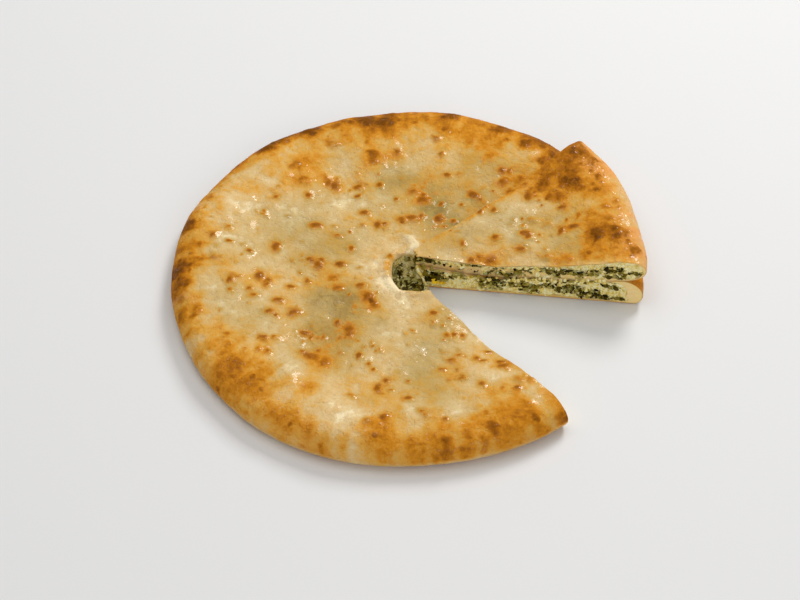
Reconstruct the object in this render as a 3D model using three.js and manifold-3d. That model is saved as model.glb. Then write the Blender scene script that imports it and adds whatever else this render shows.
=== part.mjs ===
// Ossetian pie: a flat round bread filled with curd cheese and chopped greens. One wedge has been cut
// out and laid on top of the pie, beside the gap that it left. Millimetres, +Z up, with the origin under
// the middle of the pie, on the surface that it lies on. The gap opens towards +X and -Y.
import * as THREE from "three";
import { mergeVertices } from "three/addons/utils/BufferGeometryUtils.js";
import Module from "manifold-3d";

const wasm = await Module();
wasm.setup();

// Driving dimensions of the pie
const PIE_DIAMETER = 307;
const MIDDLE_THICKNESS = 15;
const RING_RISE = 5; // the raised ring of dough inside the edge
const RING_RADIUS = 134;
const RING_WIDTH = 32;
const COLLAR_RISE = 2; // the swell round the steam hole
const COLLAR_WIDTH = 30;
const SWELL = 0.5; // soft unevenness of the top
const SWELL_LENGTH = 62;
const EDGE_WIDTH = 15; // how far in the top starts to round down
const UNDER_WIDTH = 6; // how far in the edge tucks under
const WAIST_HEIGHT = 8; // where the edge is widest

// Each entry is a wave round the outline: lobes, size and the angle of a crest
const PIE_WAVES = [
  [1, 1.4, -121],
  [2, 0.9, 82],
  [3, 0.5, 54],
  [4, 0.8, -35],
  [5, 0.7, 29],
];

// Crust and filling
const SKIN = 1.7; // dough over and under the filling
const PIE_RIM_DOUGH = 10; // solid dough at the edge
const SLICE_RIM_DOUGH = 5;
const INNER_EDGE_WIDTH = 12;
const INNER_UNDER_WIDTH = 7;
const GAP = 0.35; // clearance between crust and filling
const CRAG = 0.8; // depth of the crags on a cut through the filling
const CRAG_LENGTH = 5.2;

// Steam hole in the top crust
const HOLE_CENTRE = new THREE.Vector2(-1.5, -3);
const HOLE_HALF_WIDTH = 10.5;
const HOLE_HALF_DEPTH = 14.5;
const LIP = 2; // radius of the rolled lip round the hole
const BOWL_FLOOR = 3.2; // filling left over the base at the bottom of the hole
const BOWL_CLEARANCE = 2.6; // how far the filling stands back under the lip

// The wedge that was cut out
const CUT_APEX = new THREE.Vector2(-5.5, 1.7);
const FAR_CUT = -6.5;
const NEAR_CUT = -50;

// The slice on top: where its arc is centred, its point and its two cuts
const SLICE_CENTRE = new THREE.Vector2(2, 3);
const SLICE_DIAMETER = 298;
const SLICE_WAVES = [
  [4, 1.2, 41],
  [8, 0.8, 43],
  [12, 1.2, 23],
];
const SLICE_APEX = new THREE.Vector2(-3.5, 3.6);
const SLICE_NEAR_CUT = -7.5;
const SLICE_FAR_CUT = 38.5;
const SLICE_TIP = 8; // lost from the point, where the steam hole was
const SLICE_THICKNESS = 12.5;
const REST_GAP = 0.5; // clearance between the slice and the crust that it lies on

// Blisters on the top crust
const PIE_BLISTERS = 44;
const SLICE_BLISTERS = 9;
const BLISTER_RADIUS = [2.2, 3.8];
const BLISTER_HEIGHT = 1.3;
const BLISTER_SPACING = 14;
const BLISTER_EDGE_CLEARANCE = 14;
const BLISTER_CUT_CLEARANCE = 7;
const BLISTER_SEED = 23;

// Facets
const OUTER_SEGMENTS = 72;
const INNER_SEGMENTS = 56;
const RING_SPACING = 10;
const INNER_RING_SPACING = 18;
const CUTTER_REACH = 190;
const CUTTER_STEP = 5;
const TALL = 60; // above everything

const degrees = THREE.MathUtils.degToRad;
const bell = (t) => Math.exp(-t * t);

// Radius of a wavy round outline at an angle, in radians.
function outline(diameter, waves, angle) {
  let radius = diameter / 2;
  for (const [lobes, size, crest] of waves) {
    radius += size * Math.cos(lobes * (angle - degrees(crest)));
  }
  return radius;
}

// Height of dough over the base at a distance from the middle: a collar, a shallow dip and a raised ring.
function doughHeight(middle, radius) {
  const ring = RING_RISE * bell((radius - RING_RADIUS) / RING_WIDTH);
  const collar = COLLAR_RISE * bell(radius / COLLAR_WIDTH);
  return middle + ring + collar;
}

// Soft swells of the hand-pressed top, as two crossed waves.
function swell(x, y) {
  const turn = (2 * Math.PI) / SWELL_LENGTH;
  return SWELL * (Math.sin(turn * (x + 0.4 * y)) + Math.sin(turn * (y - 0.6 * x) + 1));
}

const pieTop = (x, y) => doughHeight(MIDDLE_THICKNESS, Math.hypot(x, y)) + swell(x, y);
const sliceBase = (x, y) => pieTop(x, y) + REST_GAP;

function sliceTop(x, y) {
  const radius = Math.hypot(x - SLICE_CENTRE.x, y - SLICE_CENTRE.y);
  return sliceBase(x, y) + doughHeight(SLICE_THICKNESS, radius);
}

// Rings of a round body, in order from the middle of its base, round its edge, to the middle of its top. Each
// ring is a function of the angle that gives a point. The edge is two quarter ellipses that meet at a waist.
function bodyRings(body) {
  const { centre, radius, top, base, edge, under, waist, spacing, edgeSteps, underSteps, baseRings } = body;
  const rings = [];
  const at = (angle, r, height) => {
    const x = centre.x + r * Math.cos(angle);
    const y = centre.y + r * Math.sin(angle);
    return new THREE.Vector3(x, y, height(x, y));
  };
  const topRings = Math.round((PIE_DIAMETER / 2 - edge) / spacing);
  for (let i = 0; i <= topRings; i++) {
    rings.push((angle) => at(angle, ((radius(angle) - edge) * i) / topRings, top));
  }
  for (let i = 1; i <= edgeSteps; i++) {
    const turn = (Math.PI / 2) * (i / edgeSteps);
    const height = (x, y) => {
      const middle = base(x, y) + waist;
      return middle + (top(x, y) - middle) * Math.cos(turn);
    };
    rings.push((angle) => at(angle, radius(angle) - edge * (1 - Math.sin(turn)), height));
  }
  for (let i = 1; i <= underSteps; i++) {
    const turn = (Math.PI / 2) * (i / underSteps);
    const height = (x, y) => base(x, y) + waist * (1 - Math.sin(turn));
    rings.push((angle) => at(angle, radius(angle) - under * (1 - Math.cos(turn)), height));
  }
  for (let i = baseRings - 1; i >= 0; i--) {
    rings.push((angle) => at(angle, ((radius(angle) - under) * i) / baseRings, base));
  }
  return rings.reverse();
}

// A lathe with as many profile points as there are rings, whose points are then put on the rings.
function lathedBody(body) {
  const rings = bodyRings(body);
  const last = rings.length - 1;
  const profile = rings.map((_, j) => new THREE.Vector2(j === 0 || j === last ? 0 : 1, j));
  const geometry = new THREE.LatheGeometry(profile, body.segments);
  const position = geometry.getAttribute("position");
  const uv = geometry.getAttribute("uv");
  for (let k = 0; k < position.count; k++) {
    const ring = rings[Math.round(uv.getY(k) * last)];
    const point = ring(uv.getX(k) * 2 * Math.PI);
    position.setXYZ(k, point.x, point.y, point.z);
  }
  return geometry;
}

// A closed geometry as a solid for cutting and joining. Facets with no area, at a pole, are left out.
function solid(geometry) {
  const bare = geometry.clone();
  bare.deleteAttribute("normal");
  bare.deleteAttribute("uv");
  const merged = mergeVertices(bare, 1e-4);
  const corners = merged.index.array;
  const kept = [];
  for (let i = 0; i < corners.length; i += 3) {
    const [a, b, c] = corners.slice(i, i + 3);
    if (a !== b && b !== c && c !== a) kept.push(a, b, c);
  }
  return new wasm.Manifold(
    new wasm.Mesh({
      numProp: 3,
      vertProperties: merged.attributes.position.array,
      triVerts: new Uint32Array(kept),
    }),
  );
}

// A solid as a mesh with a name and a material.
function named(name, shape, colour, roughness) {
  const { numProp, vertProperties, triVerts } = shape.getMesh();
  const points = [];
  for (let i = 0; i < vertProperties.length; i += numProp) {
    points.push(...vertProperties.slice(i, i + 3));
  }
  const geometry = new THREE.BufferGeometry();
  geometry.setAttribute("position", new THREE.Float32BufferAttribute(points, 3));
  geometry.setIndex([...triVerts]);
  geometry.computeVertexNormals();
  const material = new THREE.MeshStandardMaterial({ color: colour, roughness, metalness: 0 });
  const mesh = new THREE.Mesh(geometry, material);
  mesh.name = name;
  return mesh;
}

// Outer shape of a pie or slice, its hollow and what fills the hollow, each set in from the one before.
function layers(shape) {
  const outer = {
    ...shape,
    edge: EDGE_WIDTH,
    under: UNDER_WIDTH,
    waist: WAIST_HEIGHT,
    spacing: RING_SPACING,
    segments: OUTER_SEGMENTS,
    edgeSteps: 5,
    underSteps: 3,
  };
  const inset = (inward) => ({
    ...shape,
    radius: (angle) => shape.radius(angle) - shape.rimDough - inward,
    top: (x, y) => shape.top(x, y) - SKIN - inward,
    base: (x, y) => shape.base(x, y) + SKIN + inward,
    edge: INNER_EDGE_WIDTH,
    under: INNER_UNDER_WIDTH,
    waist: WAIST_HEIGHT - SKIN,
    spacing: INNER_RING_SPACING,
    segments: INNER_SEGMENTS,
    edgeSteps: 3,
    underSteps: 2,
  });
  return {
    outer: solid(lathedBody(outer)),
    hollow: solid(lathedBody(inset(0))),
    filling: solid(lathedBody(inset(GAP))),
  };
}

// A tall wedge with its point at the apex, between two directions. Its two walls carry crags of the given
// depth, which fade out at the point, and a tip of the given length is left off.
function wedge(apex, fromDegrees, toDegrees, depth, tip = 0) {
  const from = degrees(fromDegrees);
  const to = degrees(toDegrees);
  const steps = depth > 0 ? Math.round(CUTTER_REACH / CUTTER_STEP) : 1;
  const at = (angle, s) => {
    return new THREE.Vector2(apex.x + s * Math.cos(angle), apex.y + s * Math.sin(angle));
  };
  const points = tip > 0 ? [] : [apex.clone()];
  const start = tip > 0 ? 0 : 1;
  const along = (i) => tip + ((CUTTER_REACH - tip) * i) / steps;
  for (let i = start; i <= steps; i++) points.push(at(from, along(i)));
  for (let i = steps; i >= start; i--) points.push(at(to, along(i)));
  const geometry = new THREE.ExtrudeGeometry(new THREE.Shape(points), {
    depth: TALL,
    steps: depth > 0 ? Math.round(TALL / CUTTER_STEP) : 1,
    bevelEnabled: false,
  });
  geometry.translate(0, 0, -CUTTER_STEP);
  const position = geometry.getAttribute("position");
  const across = new THREE.Vector2(-Math.sin((from + to) / 2), Math.cos((from + to) / 2));
  for (let k = 0; k < position.count; k++) {
    const x = position.getX(k);
    const y = position.getY(k);
    const z = position.getZ(k);
    const s = Math.hypot(x - apex.x, y - apex.y);
    const side = Math.sign((x - apex.x) * across.x + (y - apex.y) * across.y);
    const move = depth * crag(s, z, side) * (1 - bell(s / CRAG_LENGTH));
    position.setXY(k, x + move * across.x, y + move * across.y);
  }
  return solid(geometry);
}

// Crags from -1 to 1 along a cut, as crossed waves that differ on its two walls.
function crag(s, z, side) {
  const turn = (2 * Math.PI) / CRAG_LENGTH;
  const lumps = Math.sin(0.61 * turn * s + 1.7 * side) * Math.cos(0.83 * turn * z + side);
  const grain = Math.sin(1.37 * turn * (s + 0.8 * z) + 2.3 * side);
  return 0.6 * lumps + 0.4 * grain;
}

// An upright plug of elliptical plan whose profile runs from its foot to its open top, for the steam hole.
function holePlug(profile, extra) {
  const geometry = new THREE.LatheGeometry(
    profile.map(([r, z]) => new THREE.Vector2(r, z)),
    40,
  );
  geometry.rotateX(Math.PI / 2);
  geometry.scale(HOLE_HALF_WIDTH + extra, HOLE_HALF_DEPTH + extra, 1);
  geometry.translate(HOLE_CENTRE.x, HOLE_CENTRE.y, 0);
  return solid(geometry);
}

// The rolled lip of dough round the steam hole, half sunk in the top crust and flat under the slice's tip.
function holeLip() {
  const geometry = new THREE.TorusGeometry(1, 1, 6, 36);
  const position = geometry.getAttribute("position");
  const uv = geometry.getAttribute("uv");
  for (let k = 0; k < position.count; k++) {
    const angle = uv.getX(k) * 2 * Math.PI;
    const turn = uv.getY(k) * 2 * Math.PI;
    const out = LIP * Math.cos(turn);
    const rise = LIP * (0.625 - 0.375 * Math.cos(angle));
    const x = HOLE_CENTRE.x + (HOLE_HALF_WIDTH + out) * Math.cos(angle);
    const y = HOLE_CENTRE.y + (HOLE_HALF_DEPTH + out) * Math.sin(angle);
    position.setXYZ(k, x, y, pieTop(x, y) - LIP / 2 + rise * Math.sin(turn));
  }
  return solid(geometry);
}

// Repeatable numbers from 0 to 1.
function seeded(seed) {
  let state = seed;
  return () => {
    state = (Math.imul(state, 1664525) + 1013904223) >>> 0;
    return state / 4294967296;
  };
}

const draw = seeded(BLISTER_SEED);

// Distance from a point to a line that leaves the apex in a direction.
function cutDistance(apex, direction, x, y) {
  const angle = degrees(direction);
  return Math.abs((y - apex.y) * Math.cos(angle) - (x - apex.x) * Math.sin(angle));
}

const angleFrom = (apex, x, y) => THREE.MathUtils.radToDeg(Math.atan2(y - apex.y, x - apex.x));

const betweenCuts = (apex, low, high, x, y) => {
  const angle = angleFrom(apex, x, y);
  return angle > low && angle < high;
};

const clearOfCuts = (apex, cuts, x, y) =>
  cuts.every((cut) => cutDistance(apex, cut, x, y) > BLISTER_CUT_CLEARANCE);

// Blistered spots, spread by drawing places and keeping those that are allowed and not too close together.
function blisterSpots(count, centre, diameter, allowed) {
  const spots = [];
  const reach = diameter / 2 - BLISTER_EDGE_CLEARANCE;
  const inner = HOLE_HALF_DEPTH + BLISTER_EDGE_CLEARANCE;
  const tries = count * 60;
  for (let i = 0; i < tries && spots.length < count; i++) {
    const angle = draw() * 2 * Math.PI;
    const r = Math.sqrt(draw()) * reach;
    const size = THREE.MathUtils.lerp(...BLISTER_RADIUS, draw());
    const x = centre.x + r * Math.cos(angle);
    const y = centre.y + r * Math.sin(angle);
    const apart = spots.every((spot) => Math.hypot(spot.x - x, spot.y - y) > BLISTER_SPACING);
    if (r > inner && apart && allowed(x, y)) spots.push({ x, y, size });
  }
  return spots;
}

// A crust with a low dome joined to it at each spot.
function withBlisters(crust, spots, top) {
  return spots.reduce((sum, { x, y, size }) => {
    const geometry = new THREE.SphereGeometry(1, 6, 4);
    geometry.rotateX(Math.PI / 2);
    geometry.scale(size, 0.85 * size, BLISTER_HEIGHT);
    geometry.translate(x, y, top(x, y));
    return sum.add(solid(geometry));
  }, crust);
}

// The pie, with the wedge and the steam hole taken out
const pieLayers = layers({
  centre: new THREE.Vector2(0, 0),
  radius: (angle) => outline(PIE_DIAMETER, PIE_WAVES, angle),
  top: pieTop,
  base: () => 0,
  rimDough: PIE_RIM_DOUGH,
  baseRings: 2,
});
const smoothGap = wedge(CUT_APEX, NEAR_CUT, FAR_CUT, 0);
const craggyGap = wedge(CUT_APEX, NEAR_CUT, FAR_CUT, CRAG);
const hole = holePlug([[0, MIDDLE_THICKNESS / 2], [1, MIDDLE_THICKNESS / 2], [1, TALL], [0, TALL]], 0);
const bowlWall = [[0, BOWL_FLOOR], [0.6, BOWL_FLOOR + 0.6], [0.9, BOWL_FLOOR + 3.5], [1, BOWL_FLOOR + 8]];
const bowl = holePlug([...bowlWall, [1, TALL], [0, TALL]], BOWL_CLEARANCE);
const onSlice = (x, y) => betweenCuts(SLICE_APEX, SLICE_NEAR_CUT - 6, SLICE_FAR_CUT + 6, x, y);
const onGap = (x, y) => betweenCuts(CUT_APEX, NEAR_CUT, FAR_CUT, x, y);
const pieSpots = blisterSpots(PIE_BLISTERS, new THREE.Vector2(0, 0), PIE_DIAMETER, (x, y) => {
  return !onSlice(x, y) && !onGap(x, y) && clearOfCuts(CUT_APEX, [FAR_CUT, NEAR_CUT], x, y);
});
const pieCrust = withBlisters(
  pieLayers.outer.subtract(pieLayers.hollow).add(holeLip().subtract(pieLayers.filling)).subtract(hole),
  pieSpots,
  pieTop,
).subtract(smoothGap);
const pieFilling = pieLayers.filling.subtract(bowl).subtract(craggyGap);

// The slice, lying on the crust beside the gap
const sliceLayers = layers({
  centre: SLICE_CENTRE,
  radius: (angle) => outline(SLICE_DIAMETER, SLICE_WAVES, angle),
  top: sliceTop,
  base: sliceBase,
  rimDough: SLICE_RIM_DOUGH,
  baseRings: 12,
});
const smoothSlice = wedge(SLICE_APEX, SLICE_NEAR_CUT, SLICE_FAR_CUT, 0, SLICE_TIP);
const craggySlice = wedge(SLICE_APEX, SLICE_NEAR_CUT, SLICE_FAR_CUT, CRAG, SLICE_TIP);
const sliceSpots = blisterSpots(SLICE_BLISTERS, SLICE_CENTRE, SLICE_DIAMETER, (x, y) => {
  const cuts = [SLICE_NEAR_CUT, SLICE_FAR_CUT];
  return betweenCuts(SLICE_APEX, ...cuts, x, y) && clearOfCuts(SLICE_APEX, cuts, x, y);
});
const sliceCrust = withBlisters(
  sliceLayers.outer.subtract(sliceLayers.hollow).intersect(smoothSlice),
  sliceSpots,
  sliceTop,
);
const sliceFilling = sliceLayers.filling.intersect(craggySlice);

const CRUST_COLOUR = 0xd2a663;
const FILLING_COLOUR = 0x8f8a52;
const pie = new THREE.Group();
pie.add(
  named("pie_crust", pieCrust, CRUST_COLOUR, 0.5),
  named("pie_filling", pieFilling, FILLING_COLOUR, 0.7),
  named("slice_crust", sliceCrust, CRUST_COLOUR, 0.5),
  named("slice_filling", sliceFilling, FILLING_COLOUR, 0.7),
);

export default pie;
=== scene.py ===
"""A flat round pie of thin dough filled with curd cheese and chopped greens. One wedge has been cut out and
lies on top, beside its gap. Shapes are worked out in millimetres and put into meshes in metres."""

import math
from dataclasses import dataclass
from typing import Callable

import bmesh
import bpy
import numpy as np
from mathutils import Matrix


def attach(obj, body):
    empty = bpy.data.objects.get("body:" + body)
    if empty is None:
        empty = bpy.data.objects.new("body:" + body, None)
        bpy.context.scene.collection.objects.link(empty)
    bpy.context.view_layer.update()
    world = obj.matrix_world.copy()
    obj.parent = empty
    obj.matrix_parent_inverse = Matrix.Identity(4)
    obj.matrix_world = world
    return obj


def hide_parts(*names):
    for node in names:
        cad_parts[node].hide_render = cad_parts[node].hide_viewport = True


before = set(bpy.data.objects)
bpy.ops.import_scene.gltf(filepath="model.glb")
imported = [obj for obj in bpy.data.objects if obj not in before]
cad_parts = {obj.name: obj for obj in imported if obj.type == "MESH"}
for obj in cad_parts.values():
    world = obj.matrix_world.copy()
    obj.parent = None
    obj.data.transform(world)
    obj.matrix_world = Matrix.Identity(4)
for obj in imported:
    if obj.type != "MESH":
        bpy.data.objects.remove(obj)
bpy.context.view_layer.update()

bl_info = {
    "name": "Filled flat pie",
    "version": (1, 0, 0),
    "blender": (4, 5, 0),
    "location": "3D View > Sidebar > Pie",
    "description": "Makes a flat pie of curd cheese and greens with one wedge laid on top",
    "category": "Add Mesh",
}

MM = 0.001

# Meshes: points closer than this are joined, in metres, and edges sharper than this angle stay sharp
JOIN_DISTANCE = 2e-6
SHARP_ANGLE = 55

# The stage, in metres
FLOOR_HALF = 3.0
FLOOR_LEVEL = -0.0004
VIEW_DEPTH = 20.0

# The view: width of the sensor in millimetres, width of the picture, and its shift as a share of that
SENSOR_WIDTH = 36.0
VIEW_WIDTH = 800
VIEW_SHIFT = (-9.7 / VIEW_WIDTH, -13.7 / VIEW_WIDTH)

# Soft boxes, which face the middle of the pie: name, place, size, the setting of the power, and colour
SOFT_BOXES = (
    ("key_box", (0.75, 1.25, 1.35), 0.7, "key_power", (1.0, 0.99, 0.975)),
    ("top_box", (-0.4, 0.3, 1.9), 1.4, "top_power", (1.0, 0.995, 0.99)),
    ("front_box", (0.5, -1.6, 1.0), 1.2, "front_power", (1.0, 0.99, 0.975)),
)

# The pie. A wave of its outline has lobes, size and a crest, and a bulge has a direction, spread and rise
PIE_DIAMETER = 307
PIE_WAVES = ((1, 1.4, -121), (2, 0.9, 82), (3, 0.5, 54), (4, 0.8, -35), (5, 0.7, 29))
PIE_EDGE_BULGES = ((130, 15, 2.2), (76, 8, 1.2), (160, 7, 1))
MIDDLE_THICKNESS = 15
RING_RISE = 5
RING_RADIUS = 134
RING_WIDTH = 32
COLLAR_RISE = 2
COLLAR_WIDTH = 30
SWELL = 0.5
SWELL_LENGTH = 62
EDGE_WIDTH = 15
UNDER_WIDTH = 6
WAIST_HEIGHT = 8
CUT_APEX = (-5.5, 1.7)
FAR_CUT = -6.5
NEAR_CUT = 310
HOLE_CENTRE = (-1.5, -3)

# Lip of the steam hole, seen from the point where the two cuts meet: direction and distance
HOLE_LIP = (
    (-6.5, 10), (20, 11.5), (44, 12.2), (73, 11.9), (98, 10.2), (127, 7.8), (158, 6.3), (190, 6.3),
    (224, 8.2), (252, 13.8), (264, 17), (272, 19), (292, 20.6), (310, 25),
)

# Fold of dough beside the hole: its line, its slow and its steep side, and its spread along the line
FOLD_LINE = ((-4, 31), (-2, 29.6), (2, 26), (5, 20.8), (6.2, 17), (5, 13.4), (2.6, 11.4), (-0.5, 11.6))
FOLD_POINTS = 40
FOLD_SLOW_SIDE = 5.5
FOLD_STEEP_SIDE = 1.6
FOLD_SPREAD = 2.8

# The slice on top of the pie
SLICE_CENTRE = (2, 3)
SLICE_DIAMETER = 298
SLICE_WAVES = ((4, 1.2, 41), (8, 0.8, 43), (12, 1.2, 23))
SLICE_APEX = (-3.5, 3.6)
SLICE_NEAR_CUT = -7.5
SLICE_FAR_CUT = 38.5
SLICE_TIP = 8
SLICE_THICKNESS = 12.5
SLICE_EDGE_WIDTH = 8
SLICE_UNDER_WIDTH = 17
SLICE_WAIST = 11
REST_GAP = 0.4

# Dough round the filling
PIE_RIM_DOUGH = 10
SLICE_RIM_DOUGH = 1.8
INNER_EDGE_WIDTH = 12
INNER_UNDER_WIDTH = 7
SLICE_INNER_EDGE = 5
SLICE_INNER_UNDER = 11
FILLING_GAP = 0.15
FILLING_WAIST = 0.45
SKIN_MORE_INSIDE = 1.8
CUT_CRUST = 0.6
RIM_CRUST = 0.7
CUT_PALE = 1.3
CUT_PALE_LESS = 0.54

# Heap of filling on the floor of the steam hole, and the strand of cheese that hangs down to it
HEAP_CENTRE = (2.5, -3)
HEAP_HALVES = (10, 8)
HEAP_HEIGHT = 4.4
HEAP_FLOOR = 0.3
HEAP_RINGS = 14
HEAP_SIDES = 56
STRAND_START = (4.4, 1.8, 18)
STRAND_END = (11.8, -1.8, 0.9)
STRAND_ROWS = 32
STRAND_SIDES = 12

# Sag of a crust along each cut: depth, middle along the cut, half length and width
FAR_SAG = (1.8, 70, 35, 9)
NEAR_SAG = (3.4, 82, 26, 8)
SLICE_NEAR_SAG = (1.6, 62, 46, 9)
SLICE_FAR_SAG = (1.2, 75, 40, 7)

# Puffs of a top: height, size and seed
PIE_PUFFS = ((0.7, 20, 21), (0.45, 7, 31))
SLICE_PUFFS = ((0.7, 20, 51), (0.5, 7, 61))

# Uneven edge of a top: height, radius where it starts, size, seed and height of its streaks
PIE_EDGE_RELIEF = (0.4, 100, 11, 41, 0.3)
SLICE_EDGE_RELIEF = (0.5, 105, 12, 71, 0.5)
EDGE_RELIEF_FULL = 140

# Ragged top edge of a cut: height and seed
PIE_RAGGED = (0.4, 161)
SLICE_RAGGED = (0.7, 171)

# Lip of the hole: where it rolls up, how far its edge drops, and how much less at its back, in radians
ROLL_OUT = 4.2
ROLL_WIDTH = 3.2
LIP_DROP = 1.5
LIP_EDGE = 2.6
BACK_LESS = 1.2
BACK_ANGLE = 1.5
BACK_WIDTH = 1.2

# Creases round the lip: number, height, how far out they are and their width
CREASES = 13
CREASE_HEIGHT = 0.3
CREASE_OUT = 8
CREASE_WIDTH = 6

# The slice's lifted corner, with its place, radius and height, its thin point, and how far it presses down
LIFTED_CORNER = (114, 97, 26, 2.4)
POINT_THINNER = 7
POINT_RADIUS = 36
PRESSED = 0.25

# Rows of a crust's section, from the lip over the top, round the edge and along the base
TOP_ROWS = 112
EDGE_ROWS = 28
UNDER_ROWS = 12
BASE_ROWS = 8
OUTER_ROWS = TOP_ROWS + EDGE_ROWS + UNDER_ROWS + BASE_ROWS
ROWS_PER_INNER_ROW = 8
INNER_TOP_ROWS = TOP_ROWS // ROWS_PER_INNER_ROW
INNER_EDGE_ROWS = 3
INNER_UNDER_ROWS = 2
INNER_ROWS = OUTER_ROWS // ROWS_PER_INNER_ROW
LIP_ROWS = 4
SECTION = OUTER_ROWS + 1 + INNER_ROWS + 1 + LIP_ROWS

# Faces along the three ways of a filling, and sections round a crust
PIE_FILLING_FACES = (110, 210, 30)
SLICE_FILLING_FACES = (50, 210, 30)
PIE_SECTIONS = 516
SLICE_SECTIONS = 150

# Browning of a crust: what streaks, islands, clouds and crowded blisters add, and what pale dough and
# painted highlights take
RAGGED_BAND = 9
STREAK_BROWN = 0.22
ISLAND_BROWN = 0.15
BROAD_BROWN = 0.2
CROWD_BROWN = 0.06
CROWD_LIMIT = 0.1
PALE_LESS = 0.26
SIDE_BROWN = 0.24

# Browning over the first value is eased towards a limit: start, room above it and width
SOFT_LIMIT = (0.6, 0.24, 0.3)

# Browning of the edge: angle, width of the band, strength, and what the outermost strip adds
PIE_RIM_BROWN = (
    (50, 24, 0.52, 0.12), (70, 28, 0.52, 0.12), (80, 16, 0.42, 0.14), (90, 26, 0.54, 0.08),
    (98, 33, 0.58, 0.08), (106, 23, 0.5, 0.1), (120, 14, 0.48, 0.22), (130, 14, 0.52, 0.24),
    (145, 13, 0.36, 0.12), (160, 20, 0.42, 0.04), (172, 21, 0.48, 0.02), (185, 15, 0.42, 0.0),
    (195, 13, 0.32, -0.04), (203, 22, 0.25, -0.06), (212, 42, 0.35, -0.12), (225, 50, 0.38, -0.12),
    (238, 42, 0.36, -0.12), (248, 26, 0.34, -0.12), (255, 16, 0.34, -0.1), (264, 22, 0.4, -0.1),
    (276, 23, 0.39, -0.08), (290, 28, 0.35, -0.06), (302, 30, 0.34, -0.06), (312, 26, 0.34, 0.0),
    (350, 16, 0.42, 0.0),
)
# On the slice the band is light, and the strip takes browning away and glows pink-orange: partly the
# crust's own colour, partly painted light on the edge that faces the key light
SLICE_RIM_BROWN = (
    (-10, 26, 0.36, -0.34), (5, 36, 0.46, -0.38), (20, 38, 0.48, -0.38), (32, 40, 0.46, -0.32),
    (42, 40, 0.36, -0.32),
)

# Golden and browned patches: x, y, radius and strength
PIE_PATCHES = (
    (-112, -88, 12, 0.2), (-128, -95, 10, 0.1), (-95, -105, 12, 0.14), (-90, -120, 10, 0.16),
    (-70, -132, 10, 0.1), (-58, -90, 8, 0.14), (-84, -98, 9, 0.14), (-62, -103, 8, 0.12),
    (-48, -78, 9, 0.08), (-62, -58, 8, 0.04), (-90, -10, 12, 0.1), (-108, -15, 8, 0.1), (-84, -28, 8, 0.1),
    (-75, -38, 7, 0.06), (-58, -10, 12, 0.14), (-45, -15, 10, 0.12), (-28, -18, 10, 0.08),
    (-22, -30, 8, 0.1), (-36, -55, 7, 0.07), (-40, -45, 8, 0.08), (-136, 28, 10, 0.12), (-122, 35, 8, 0.06),
    (-120, 5, 8, 0.06), (-95, 62, 12, 0.04), (-110, 80, 14, 0.06), (-80, 100, 16, 0.12),
    (-62, 92, 12, 0.24), (-50, 80, 14, 0.14), (-30, 76, 9, 0.1), (-4, 118, 9, 0.24), (-32, 119, 9, 0.14),
    (-22, 102, 8, 0.06), (-40, 108, 12, 0.1), (-60, 112, 12, 0.12), (-28, 52, 8, 0.1), (-20, 42, 8, 0.1),
    (-62, 42, 7, 0.08), (5, 47, 12, 0.06), (10, 62, 8, 0.08), (22, 48, 6, 0.16), (42, 68, 9, 0.06),
    (62, 80, 10, 0.06), (75, 66, 8, 0.06), (60, 95, 34, 0.12), (74, 84, 12, 0.1), (-100, 78, 26, 0.02),
    (88, 84, 12, 0.12), (62, 110, 12, 0.12), (-30, 134, 10, 0.16), (16, -40, 7, 0.12), (28, -57, 10, 0.07),
    (25, -78, 8, 0.05), (42, -75, 8, 0.05), (57, -85, 8, 0.04), (68, -102, 8, 0.07), (66, -125, 9, 0.08),
    (48, -135, 8, 0.06), (20, -143, 9, 0.04), (0, -130, 12, 0.1), (-20, -102, 7, 0.12), (-148, 0, 7, 0.18),
    (-147, -16, 6, 0.1), (-12.8, 9, 2.4, 0.34), (-14.2, 4, 2.4, 0.34), (-14.2, -1, 2.4, 0.28),
    (-13.6, -6, 2.2, 0.2), (-2, 33, 3, 0.25), (-145, 38, 6, 0.24), (-95, 111, 8, 0.24), (-68, 132, 7, 0.2),
    (-50, -32, 22, 0.04), (-40, -62, 20, 0.03), (-70, -56, 16, 0.04), (-6, 104, 6, 0.14),
    (-85, 75, 9, 0.08), (-130, -75, 8, 0.12), (-10, -132, 8, 0.1), (-20, 20, 8, 0.06), (-38, -30, 8, 0.1),
    (10, 80, 40, 0.04), (22, 38, 5, 0.1),
)
SLICE_PATCHES = (
    (96, 72, 10, 0.18), (111, 78, 8, 0.2), (116, 85, 7, 0.1), (88, 60, 9, 0.18), (94, 52, 7, 0.14),
    (105, 50, 9, 0.16), (104, 62, 10, 0.08), (78, 53, 6, 0.1), (122, 50, 8, 0.06), (118, 20, 10, 0.2),
    (122, 12, 8, 0.12), (120, 0, 10, 0.2), (110, 30, 10, 0.14), (128, 34, 7, 0.06), (146, -5, 6, 0.06),
    (75, 20, 6, 0.06), (98, 20, 6, 0.1), (72, 6, 6, 0.1), (57, 16, 6, 0.08), (105, -4, 9, 0.1),
    (90, -4, 9, 0.08), (49, 47, 5, 0.1), (66, 58, 6, 0.12), (84, 57, 7, 0.14), (78, 66, 6, 0.12),
    (110, 76, 6, 0.12), (104, 24, 6, 0.08),
)

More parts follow.
